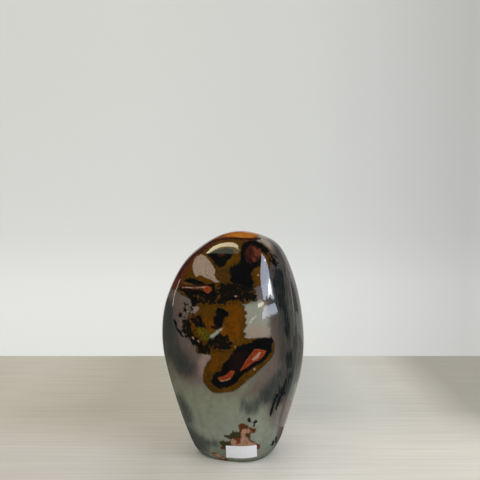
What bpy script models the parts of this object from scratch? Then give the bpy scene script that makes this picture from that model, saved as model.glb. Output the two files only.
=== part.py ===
"""Polished freeform of polychrome jasper, standing on its sawn foot, with a small paper label on its front.

Metres, +Z up. X runs along the stone's width, the front faces -Y, and the origin is on the table,
under the middle of the stone's bounding box.
"""

import math

import bmesh
import bpy
import numpy as np

MM = 0.001

# Driving dimensions
STONE_HEIGHT = 145.0 * MM
STONE_WIDTH = 93.2 * MM
STONE_DEPTH = 60.0 * MM
LABEL_WIDTH = 19.4 * MM
LABEL_HEIGHT = 8.2 * MM
LABEL_THICKNESS = 0.25 * MM
LABEL_GAP = 0.3 * MM  # air between the paper and the stone
LABEL_CENTRE = (5.2 * MM, 7.3 * MM)  # x and z of its middle on the front face
LABEL_TILT = math.radians(2.0)  # its right end is stuck on a little higher

# Outline seen from the front: (x, z) in shares of half the width and of the height.
# It runs from the left edge of the foot over the crown to the right edge of the foot.
FRONT_OUTLINE = [
    (-0.440, 0.000), (-0.530, 0.028), (-0.625, 0.090), (-0.742, 0.190), (-0.853, 0.303),
    (-0.947, 0.414), (-0.992, 0.540), (-0.972, 0.635), (-0.878, 0.741), (-0.706, 0.848),
    (-0.436, 0.934), (-0.165, 0.983), (0.150, 1.000), (0.450, 0.978), (0.702, 0.916),
    (0.841, 0.820), (0.936, 0.712), (0.995, 0.590), (1.012, 0.490), (0.984, 0.380),
    (0.902, 0.270), (0.795, 0.165), (0.706, 0.085), (0.605, 0.024), (0.525, 0.000),
]

# Outline seen from the side: (y, z) in shares of half the depth and of the height,
# from the front edge of the foot over the crown to the back edge of the foot.
SIDE_OUTLINE = [
    (-0.665, 0.000), (-0.735, 0.026), (-0.780, 0.090), (-0.860, 0.220), (-0.945, 0.360),
    (-1.000, 0.520), (-0.965, 0.680), (-0.830, 0.810), (-0.580, 0.915), (-0.270, 0.980),
    (0.060, 1.000), (0.380, 0.975), (0.660, 0.905), (0.870, 0.790), (0.970, 0.660),
    (1.000, 0.510), (0.950, 0.360), (0.830, 0.220), (0.690, 0.090), (0.600, 0.026),
    (0.500, 0.000),
]

# Level sections: a blunt ridge right of the middle parts the broad front from the narrower
# right side. They are control points of closed B-splines, in shares of the half widths.
FOOT_SECTION = [
    (-1.12, 0.12), (-0.99, -0.34), (-0.66, -0.80), (-0.20, -0.98), (0.24, -1.16),
    (0.68, -0.90), (1.00, -0.30), (1.10, 0.32), (0.85, 0.86), (0.25, 1.12),
    (-0.45, 1.08), (-0.97, 0.70),
]
BODY_SECTION = [
    (-1.05, 0.10), (-0.98, -0.52), (-0.62, -0.98), (-0.10, -1.10), (0.36, -1.08),
    (0.70, -0.72), (0.95, -0.20), (1.10, 0.32), (0.85, 0.86), (0.25, 1.12),
    (-0.45, 1.08), (-0.95, 0.66),
]
BODY_FROM = 0.40  # share of the height above which the foot's section has become the body's
CROWN_FROM = 0.60  # share of the height above which the body's section grows into an oval

# Mesh fineness
SEGMENTS_ROUND = 56
RINGS_UP = 36
LABEL_COLUMNS = 12
LABEL_ROWS = 4
CURVE_SAMPLES = 1200
FOOT_SPACING = 0.45  # how even the rings' spacing is at the foot, where 1 is even
CROWN_SPACING = 0.06

# Finishes: linear RGB, roughness
STONE_COLOUR = (0.17, 0.13, 0.09)
STONE_ROUGHNESS = 0.06
PAPER_COLOUR = (0.80, 0.80, 0.82)
PAPER_ROUGHNESS = 0.75


def smooth_line(points, count):
    """A natural cubic spline through the points, read at count places along it."""
    points = np.array(points, float)
    steps = np.linalg.norm(np.diff(points, axis=0), axis=1)
    knots = np.concatenate([[0.0], np.cumsum(steps)])
    last = len(points) - 1
    system = np.eye(last + 1)
    rises = np.zeros_like(points)
    for i in range(1, last):
        system[i, i - 1 : i + 2] = steps[i - 1], 2 * (steps[i - 1] + steps[i]), steps[i]
        after, before = points[i + 1] - points[i], points[i] - points[i - 1]
        rises[i] = 6 * (after / steps[i] - before / steps[i - 1])
    bend = np.linalg.solve(system, rises)
    places = np.linspace(0, knots[-1], count)
    span = np.clip(np.searchsorted(knots, places) - 1, 0, last - 1)
    width = steps[span][:, None]
    done = (places - knots[span])[:, None]
    left = width - done
    return (
        (bend[span] * left**3 + bend[span + 1] * done**3) / (6 * width)
        + (points[span] / width - bend[span] * width / 6) * left
        + (points[span + 1] / width - bend[span + 1] * width / 6) * done
    )


def fill_unit(points):
    """Points moved and stretched so that each column runs from -1 to 1."""
    low, high = points.min(axis=0), points.max(axis=0)
    return (points - (low + high) / 2) / ((high - low) / 2)


def closed_section(control, count):
    """A level section as a closed cubic B-spline through -1 and 1 both ways."""
    place = np.arange(count) * len(control) / count
    first = place.astype(int)
    t = (place - first)[:, None]
    weights = ((1 - t) ** 3, 3 * t**3 - 6 * t**2 + 4, -3 * t**3 + 3 * t**2 + 3 * t + 1, t**3)
    ring = sum(w * control[(first + k) % len(control)] for k, w in enumerate(weights))
    return fill_unit(ring)


def both_sides(outline, z_share):
    """Where an outline's rising and falling sides are at a height, in shares."""
    line = fill_unit(smooth_line(outline, CURVE_SAMPLES))
    line[:, 1] = (line[:, 1] + 1) / 2
    crown = int(line[:, 1].argmax())
    rising, falling = line[: crown + 1], line[: crown - 1 : -1]
    return (
        np.interp(z_share, rising[:, 1], rising[:, 0]),
        np.interp(z_share, falling[:, 1], falling[:, 0]),
    )


def ring_at(z_share, count=SEGMENTS_ROUND):
    """The stone's section at a height, as (x, y) in metres."""
    body = (1 - math.cos(math.pi * min(z_share / BODY_FROM, 1.0))) / 2
    control = np.array(FOOT_SECTION) * (1 - body) + np.array(BODY_SECTION) * body
    section = closed_section(control, count)
    turn = np.arctan2(section[:, 1], section[:, 0])
    oval = np.stack([np.cos(turn), np.sin(turn)], axis=1)
    roundness = max(z_share - CROWN_FROM, 0.0) / (1 - CROWN_FROM)
    section = section * (1 - roundness**2) + oval * roundness**2
    left, right = both_sides(FRONT_OUTLINE, z_share)
    front, back = both_sides(SIDE_OUTLINE, z_share)
    middle = np.array([(left + right) * STONE_WIDTH, (front + back) * STONE_DEPTH]) / 4
    half = np.array([(right - left) * STONE_WIDTH, (back - front) * STONE_DEPTH]) / 4
    return middle + section * half


def ring_heights():
    """Heights in shares from the foot to the crown, closer together at both ends."""
    turn = np.linspace(0, 1, RINGS_UP + 1)
    rise = (1 - np.cos(math.pi * turn)) / 2
    even = FOOT_SPACING * (1 - turn) + CROWN_SPACING * turn
    return even * turn + (1 - even) * rise


def stone_mesh():
    """Rings bridged by quads, closed by the flat sawn foot and a fan at the crown."""
    shape = bmesh.new()
    rings = []
    for z_share in ring_heights()[:-1]:
        outline = ring_at(z_share)
        rings.append([shape.verts.new((x, y, z_share * STONE_HEIGHT)) for x, y in outline])
    for lower, upper in zip(rings, rings[1:]):
        for i in range(SEGMENTS_ROUND):
            j = (i + 1) % SEGMENTS_ROUND
            shape.faces.new((lower[i], lower[j], upper[j], upper[i]))
    crown_x, crown_y = ring_at(1.0).mean(axis=0)
    crown = shape.verts.new((crown_x, crown_y, STONE_HEIGHT))
    for i in range(SEGMENTS_ROUND):
        shape.faces.new((rings[-1][i], rings[-1][(i + 1) % SEGMENTS_ROUND], crown))
    shape.faces.new(rings[0])
    bmesh.ops.recalc_face_normals(shape, faces=shape.faces)
    return shape


def front_at(x, z):
    """The y of the stone's front at a place on it, in metres."""
    ring = ring_at(z / STONE_HEIGHT, CURVE_SAMPLES)
    front = ring[ring[:, 1] < ring[:, 1].mean()]
    front = front[front[:, 0].argsort()]
    return np.interp(x, front[:, 0], front[:, 1])


def label_mesh():
    """A strip of paper that follows the stone's front at a small distance, with a back and edges."""
    shape = bmesh.new()
    sheets = []
    for distance in (LABEL_GAP, LABEL_GAP + LABEL_THICKNESS):
        sheet = []
        for row in range(LABEL_ROWS + 1):
            up = (row / LABEL_ROWS - 0.5) * LABEL_HEIGHT
            line = []
            for column in range(LABEL_COLUMNS + 1):
                along = (column / LABEL_COLUMNS - 0.5) * LABEL_WIDTH
                x = LABEL_CENTRE[0] + along * math.cos(LABEL_TILT) - up * math.sin(LABEL_TILT)
                z = LABEL_CENTRE[1] + along * math.sin(LABEL_TILT) + up * math.cos(LABEL_TILT)
                line.append(shape.verts.new((x, front_at(x, z) - distance, z)))
            sheet.append(line)
        sheets.append(sheet)
    back, face = sheets
    for row in range(LABEL_ROWS):
        for column in range(LABEL_COLUMNS):
            for sheet in sheets:
                shape.faces.new(
                    (
                        sheet[row][column],
                        sheet[row][column + 1],
                        sheet[row + 1][column + 1],
                        sheet[row + 1][column],
                    )
                )
    rim = [(0, c) for c in range(LABEL_COLUMNS)]
    rim += [(r, LABEL_COLUMNS) for r in range(LABEL_ROWS)]
    rim += [(LABEL_ROWS, c) for c in range(LABEL_COLUMNS, 0, -1)]
    rim += [(r, 0) for r in range(LABEL_ROWS, 0, -1)]
    for (r0, c0), (r1, c1) in zip(rim, rim[1:] + rim[:1]):
        shape.faces.new((back[r0][c0], back[r1][c1], face[r1][c1], face[r0][c0]))
    bmesh.ops.recalc_face_normals(shape, faces=shape.faces)
    return shape


def finish(name, colour, roughness):
    """A plain dielectric material."""
    material = bpy.data.materials.new(name)
    material.use_nodes = True
    shader = material.node_tree.nodes["Principled BSDF"]
    shader.inputs["Base Color"].default_value = (*colour, 1.0)
    shader.inputs["Roughness"].default_value = roughness
    shader.inputs["Metallic"].default_value = 0.0
    return material


def add_object(name, shape, material, crease_degrees):
    """One named object from a bmesh, shaded smooth between its creases."""
    mesh = bpy.data.meshes.new(name)
    shape.to_mesh(mesh)
    shape.free()
    mesh.shade_smooth()
    mesh.set_sharp_from_angle(angle=math.radians(crease_degrees))
    mesh.materials.append(material)
    piece = bpy.data.objects.new(name, mesh)
    bpy.context.scene.collection.objects.link(piece)
    return piece


def main():
    for old in list(bpy.data.objects):
        bpy.data.objects.remove(old)
    polished = finish("polished_jasper", STONE_COLOUR, STONE_ROUGHNESS)
    paper = finish("label_paper", PAPER_COLOUR, PAPER_ROUGHNESS)
    add_object("stone", stone_mesh(), polished, crease_degrees=30)
    add_object("paper_label", label_mesh(), paper, crease_degrees=40)


main()
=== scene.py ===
import math

import bmesh
import bpy
import numpy as np
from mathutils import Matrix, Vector


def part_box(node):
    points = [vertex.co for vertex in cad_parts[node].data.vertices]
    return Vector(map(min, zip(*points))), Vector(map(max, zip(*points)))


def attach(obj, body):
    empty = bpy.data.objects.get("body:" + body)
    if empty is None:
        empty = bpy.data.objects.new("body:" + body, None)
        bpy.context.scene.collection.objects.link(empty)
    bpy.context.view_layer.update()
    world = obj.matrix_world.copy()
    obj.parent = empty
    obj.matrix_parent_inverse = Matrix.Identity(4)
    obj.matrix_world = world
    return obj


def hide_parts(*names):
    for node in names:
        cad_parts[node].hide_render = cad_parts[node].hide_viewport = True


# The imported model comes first: it gives the stone's box, the label's box and the body they ride on
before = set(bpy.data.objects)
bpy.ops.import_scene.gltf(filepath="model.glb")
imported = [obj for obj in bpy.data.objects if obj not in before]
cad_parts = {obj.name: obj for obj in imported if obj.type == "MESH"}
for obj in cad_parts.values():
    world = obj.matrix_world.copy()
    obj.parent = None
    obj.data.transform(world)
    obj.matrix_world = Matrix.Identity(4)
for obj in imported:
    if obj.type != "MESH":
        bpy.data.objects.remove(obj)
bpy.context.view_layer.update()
print("frame loaded, nodes:", ", ".join(sorted(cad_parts)))

mm = 0.001
mainBody = "root"

# Where the photographer stood: a little above the stone's shoulder, a little right of its middle
viewpoint = {
    "x": 4.3 * mm,
    "y": -452.6 * mm,
    "z": 165 * mm,
    "tiltDown": 3.27,  # degrees below level
    "lens": 52.5,  # mm, on a 36 mm sensor
    "sensor": 36,
}

camera = bpy.data.objects.new("camera", bpy.data.cameras.new("camera"))
camera.location = (viewpoint["x"], viewpoint["y"], viewpoint["z"])
camera.rotation_euler = (math.radians(90 - viewpoint["tiltDown"]), 0, 0)
camera.data.lens = viewpoint["lens"]
camera.data.sensor_width = viewpoint["sensor"]
bpy.context.scene.collection.objects.link(camera)
bpy.context.scene.camera = camera
bpy.context.scene.view_settings.view_transform = "Standard"


def linearColour(hexCode):
    # an sRGB hex value as the linear RGBA that a shader takes
    channels = [int(hexCode[i:i + 2], 16) / 255 for i in (1, 3, 5)]
    return [c / 12.92 if c <= 0.04045 else ((c + 0.055) / 1.055) ** 2.4 for c in channels] + [1.0]


def addNode(tree, kind, inputs=None, **settings):
    # one node, its settings, then each input as a value or as a link from another node's output
    node = tree.nodes.new(kind)
    for name, value in settings.items():
        setattr(node, name, value)
    for name, value in (inputs or {}).items():
        if isinstance(value, bpy.types.NodeSocket):
            tree.links.new(value, node.inputs[name])
        else:
            node.inputs[name].default_value = value
    return node


def newMaterial(name):
    # an empty node material with its Principled shader and the object's own coordinates
    material = bpy.data.materials.new(name)
    material.use_nodes = True
    tree = material.node_tree
    return material, tree, tree.nodes["Principled BSDF"], addNode(tree, "ShaderNodeTexCoord")


def addPiece(name, mesh, material, replaced=()):
    # a finished mesh as a piece of the object, on the stone's body
    piece = bpy.data.objects.new(name, mesh)
    bpy.context.scene.collection.objects.link(piece)
    if material:
        mesh.materials.append(material)
    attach(piece, mainBody)
    if replaced:
        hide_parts(*replaced)


# The stone's form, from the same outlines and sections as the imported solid, but far finer
stoneForm = {
    "frontOutline": [
        (-0.440, 0.000), (-0.530, 0.028), (-0.625, 0.090), (-0.742, 0.190), (-0.853, 0.303),
        (-0.947, 0.414), (-0.992, 0.540), (-0.972, 0.635), (-0.878, 0.741), (-0.706, 0.848),
        (-0.436, 0.934), (-0.165, 0.983), (0.150, 1.000), (0.450, 0.978), (0.702, 0.916),
        (0.841, 0.820), (0.936, 0.712), (0.995, 0.590), (1.012, 0.490), (0.984, 0.380),
        (0.902, 0.270), (0.795, 0.165), (0.706, 0.085), (0.605, 0.024), (0.525, 0.000),
    ],  # (x, z) in shares of half the width and of the height
    "sideOutline": [
        (-0.665, 0.000), (-0.735, 0.026), (-0.780, 0.090), (-0.860, 0.220), (-0.945, 0.360),
        (-1.000, 0.520), (-0.965, 0.680), (-0.830, 0.810), (-0.580, 0.915), (-0.270, 0.980),
        (0.060, 1.000), (0.380, 0.975), (0.660, 0.905), (0.870, 0.790), (0.970, 0.660),
        (1.000, 0.510), (0.950, 0.360), (0.830, 0.220), (0.690, 0.090), (0.600, 0.026),
        (0.500, 0.000),
    ],  # (y, z) in shares of half the depth and of the height
    "footSection": [
        (-1.12, 0.12), (-0.99, -0.34), (-0.66, -0.80), (-0.20, -0.98), (0.24, -1.16),
        (0.68, -0.90), (1.00, -0.30), (1.10, 0.32), (0.85, 0.86), (0.25, 1.12),
        (-0.45, 1.08), (-0.97, 0.70),
    ],
    "bodySection": [
        (-1.05, 0.10), (-0.98, -0.52), (-0.62, -0.98), (-0.10, -1.10), (0.36, -1.08),
        (0.70, -0.72), (0.95, -0.20), (1.10, 0.32), (0.85, 0.86), (0.25, 1.12),
        (-0.45, 1.08), (-0.95, 0.66),
    ],
    "bodyFrom": 0.40,  # above this share of the height the foot's section has become the body's
    "crownFrom": 0.60,  # above this one the body's section grows into an oval
    "segmentsRound": 400,
    "ringsUp": 236,
    "crownCrowding": 0.6,  # share of the rings that crowd towards the crown, the rest to the foot as well
    "frontCrowding": 0.25,  # how much closer the segments stand on the front, where most is drawn
    "frontPlace": 0.29,  # the front's middle, as a share of the way round
    "curveSamples": 1200,
    "waveDepth": 0.09 * mm,  # hand-lapped stone is never quite even, which bends its reflections
    "waveLength": 30 * mm,
    "waveLengths": (0.7, 1.6),  # shares of that length
    "waves": 7,
    "waveSeed": 5,
    "trueBelow": 4 * mm,  # towards the foot's edge the waves die out
}


def smoothLine(points, count):
    # a natural cubic spline through the points, read at count places along it
    points = np.array(points, float)
    steps = np.linalg.norm(np.diff(points, axis=0), axis=1)
    knots = np.concatenate([[0.0], np.cumsum(steps)])
    last = len(points) - 1
    system = np.eye(last + 1)
    rises = np.zeros_like(points)
    for i in range(1, last):
        system[i, i - 1:i + 2] = steps[i - 1], 2 * (steps[i - 1] + steps[i]), steps[i]
        after, before = points[i + 1] - points[i], points[i] - points[i - 1]
        rises[i] = 6 * (after / steps[i] - before / steps[i - 1])
    bend = np.linalg.solve(system, rises)
    places = np.linspace(0, knots[-1], count)
    span = np.clip(np.searchsorted(knots, places) - 1, 0, last - 1)
    width = steps[span][:, None]
    done = (places - knots[span])[:, None]
    left = width - done
    return (
        (bend[span] * left ** 3 + bend[span + 1] * done ** 3) / (6 * width)
        + (points[span] / width - bend[span] * width / 6) * left
        + (points[span + 1] / width - bend[span + 1] * width / 6) * done
    )


def fillUnit(points):
    # the points moved and stretched so that each column runs from -1 to 1
    low, high = points.min(axis=0), points.max(axis=0)
    return (points - (low + high) / 2) / ((high - low) / 2)


def closedSection(control, places):
    # a closed cubic B-spline at shares of the way round, filling -1 to 1 both ways
    place = (places % 1.0) * len(control)
    first = place.astype(int)
    t = (place - first)[:, None]
    weights = ((1 - t) ** 3, 3 * t ** 3 - 6 * t ** 2 + 4, -3 * t ** 3 + 3 * t ** 2 + 3 * t + 1, t ** 3)
    return fillUnit(sum(w * control[(first + k) % len(control)] for k, w in enumerate(weights)))


def outlineSides(outline):
    # an outline's rising and falling sides, each as heights with their places across
    line = fillUnit(smoothLine(outline, stoneForm["curveSamples"]))
    line[:, 1] = (line[:, 1] + 1) / 2
    crown = int(line[:, 1].argmax())
    return line[:crown + 1], line[:crown - 1:-1]


stoneLow, stoneHigh = [np.array(corner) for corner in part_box("stone")]
stoneSize = stoneHigh - stoneLow
leftSide, rightSide = outlineSides(stoneForm["frontOutline"])
frontSide, backSide = outlineSides(stoneForm["sideOutline"])


def ringAt(share, places):
    # the stone's level section at a share of its height, in metres
    body = (1 - math.cos(math.pi * min(share / stoneForm["bodyFrom"], 1.0))) / 2
    control = np.array(stoneForm["footSection"]) * (1 - body) + np.array(stoneForm["bodySection"]) * body
    section = closedSection(control, places)
    turn = np.arctan2(section[:, 1], section[:, 0])
    roundness = (max(share - stoneForm["crownFrom"], 0.0) / (1 - stoneForm["crownFrom"])) ** 2
    section = section * (1 - roundness) + np.stack([np.cos(turn), np.sin(turn)], axis=1) * roundness
    left, right, front, back = [
        np.interp(share, side[:, 1], side[:, 0]) for side in (leftSide, rightSide, frontSide, backSide)
    ]
    middle = np.array([left + right, front + back]) / 2
    half = np.array([right - left, back - front]) / 2
    return (middle + section * half) * stoneSize[:2] / 2


def stonePoints():
    # rings from the foot to just under the crown, then the crown's point
    turns = np.arange(stoneForm["segmentsRound"]) / stoneForm["segmentsRound"]
    crowding = stoneForm["frontCrowding"] * np.sin(2 * math.pi * (turns - stoneForm["frontPlace"]))
    places = turns - crowding / (2 * math.pi)
    rise = np.linspace(0, 1, stoneForm["ringsUp"] + 1)[:-1]
    crownOnly = stoneForm["crownCrowding"]
    shares = crownOnly * np.sin(math.pi * rise / 2) + (1 - crownOnly) / 2 * (1 - np.cos(math.pi * rise))
    rings = [
        np.column_stack([ringAt(share, places), np.full(len(places), share * stoneSize[2])])
        for share in shares
    ]
    crown = [*ringAt(1.0, places).mean(axis=0), stoneSize[2]]
    points = np.concatenate([*rings, [crown]])
    low, high = points.min(axis=0), points.max(axis=0)
    return stoneLow + (points - low) * stoneSize / (high - low)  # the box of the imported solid


def stoneMesh():
    # quads between the rings, a fan at the crown and one flat face for the sawn foot
    points = stonePoints()
    around = stoneForm["segmentsRound"]
    last = stoneForm["ringsUp"] - 1
    i = np.arange(around)
    j = (i + 1) % around
    faces = []
    for ring in range(last):
        low, high = ring * around, (ring + 1) * around
        faces += np.column_stack([low + i, low + j, high + j, high + i]).tolist()
    crown = len(points) - 1
    faces += np.column_stack([last * around + i, last * around + j, np.full(around, crown)]).tolist()
    faces.append(i[::-1].tolist())
    mesh = bpy.data.meshes.new("stone")
    mesh.from_pydata(points.tolist(), [], faces)
    mesh.shade_smooth()
    return mesh


# A small open pocket in the left shoulder, lined with quartz
pocket = {
    "x": -27.7 * mm,
    "z": 97.9 * mm,
    "radius": 1.7 * mm,
    "depth": 1.5 * mm,
    "refineRadius": 3.2 * mm,  # the mesh is cut finer out to here
    "refineCuts": 3,
}


def meshPoints(mesh, kind="vertices", field="co"):
    # a mesh's coordinates or normals as rows of x, y and z
    rows = np.zeros(len(getattr(mesh, kind)) * 3, np.float32)
    getattr(mesh, kind).foreach_get(field, rows)
    return rows.reshape(-1, 3).astype(float)


def refinePocket(mesh):
    # smaller faces round the pocket, so that its rim is round
    shape = bmesh.new()
    shape.from_mesh(mesh)
    middle = np.array([pocket["x"], pocket["z"]])
    reach = pocket["refineRadius"]
    near = [
        edge for edge in shape.edges
        if all(v.co.y < 0 and math.dist((v.co.x, v.co.z), middle) < reach for v in edge.verts)
    ]
    bmesh.ops.subdivide_edges(shape, edges=near, cuts=pocket["refineCuts"], use_grid_fill=True)
    shape.to_mesh(mesh)
    shape.free()


def lapStone(mesh):
    # sinks the surface along its normals: faint waves left by the lap, and the pocket
    points = meshPoints(mesh)
    normals = meshPoints(mesh, "vertex_normals", "vector")
    waves = np.zeros(len(points))
    heading = np.random.default_rng(stoneForm["waveSeed"])
    for _ in range(stoneForm["waves"]):
        axis = heading.normal(size=3)
        length = stoneForm["waveLength"] * heading.uniform(*stoneForm["waveLengths"])
        phase = heading.uniform(0, 6)  # radians
        waves += np.sin(points @ (axis / np.linalg.norm(axis)) * 2 * math.pi / length + phase)
    sunk = stoneForm["waveDepth"] * (0.5 - 0.5 * waves / np.abs(waves).max())
    sunk *= np.clip(points[:, 2] / stoneForm["trueBelow"], 0, 1)
    away = np.hypot(points[:, 0] - pocket["x"], points[:, 2] - pocket["z"]) / pocket["radius"]
    sunk += np.where(points[:, 1] < 0, pocket["depth"] * np.exp(-(away ** 4)), 0)
    points -= normals * sunk[:, None]
    mesh.vertices.foreach_set("co", points.astype(np.float32).ravel())
    mesh.update()


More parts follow.
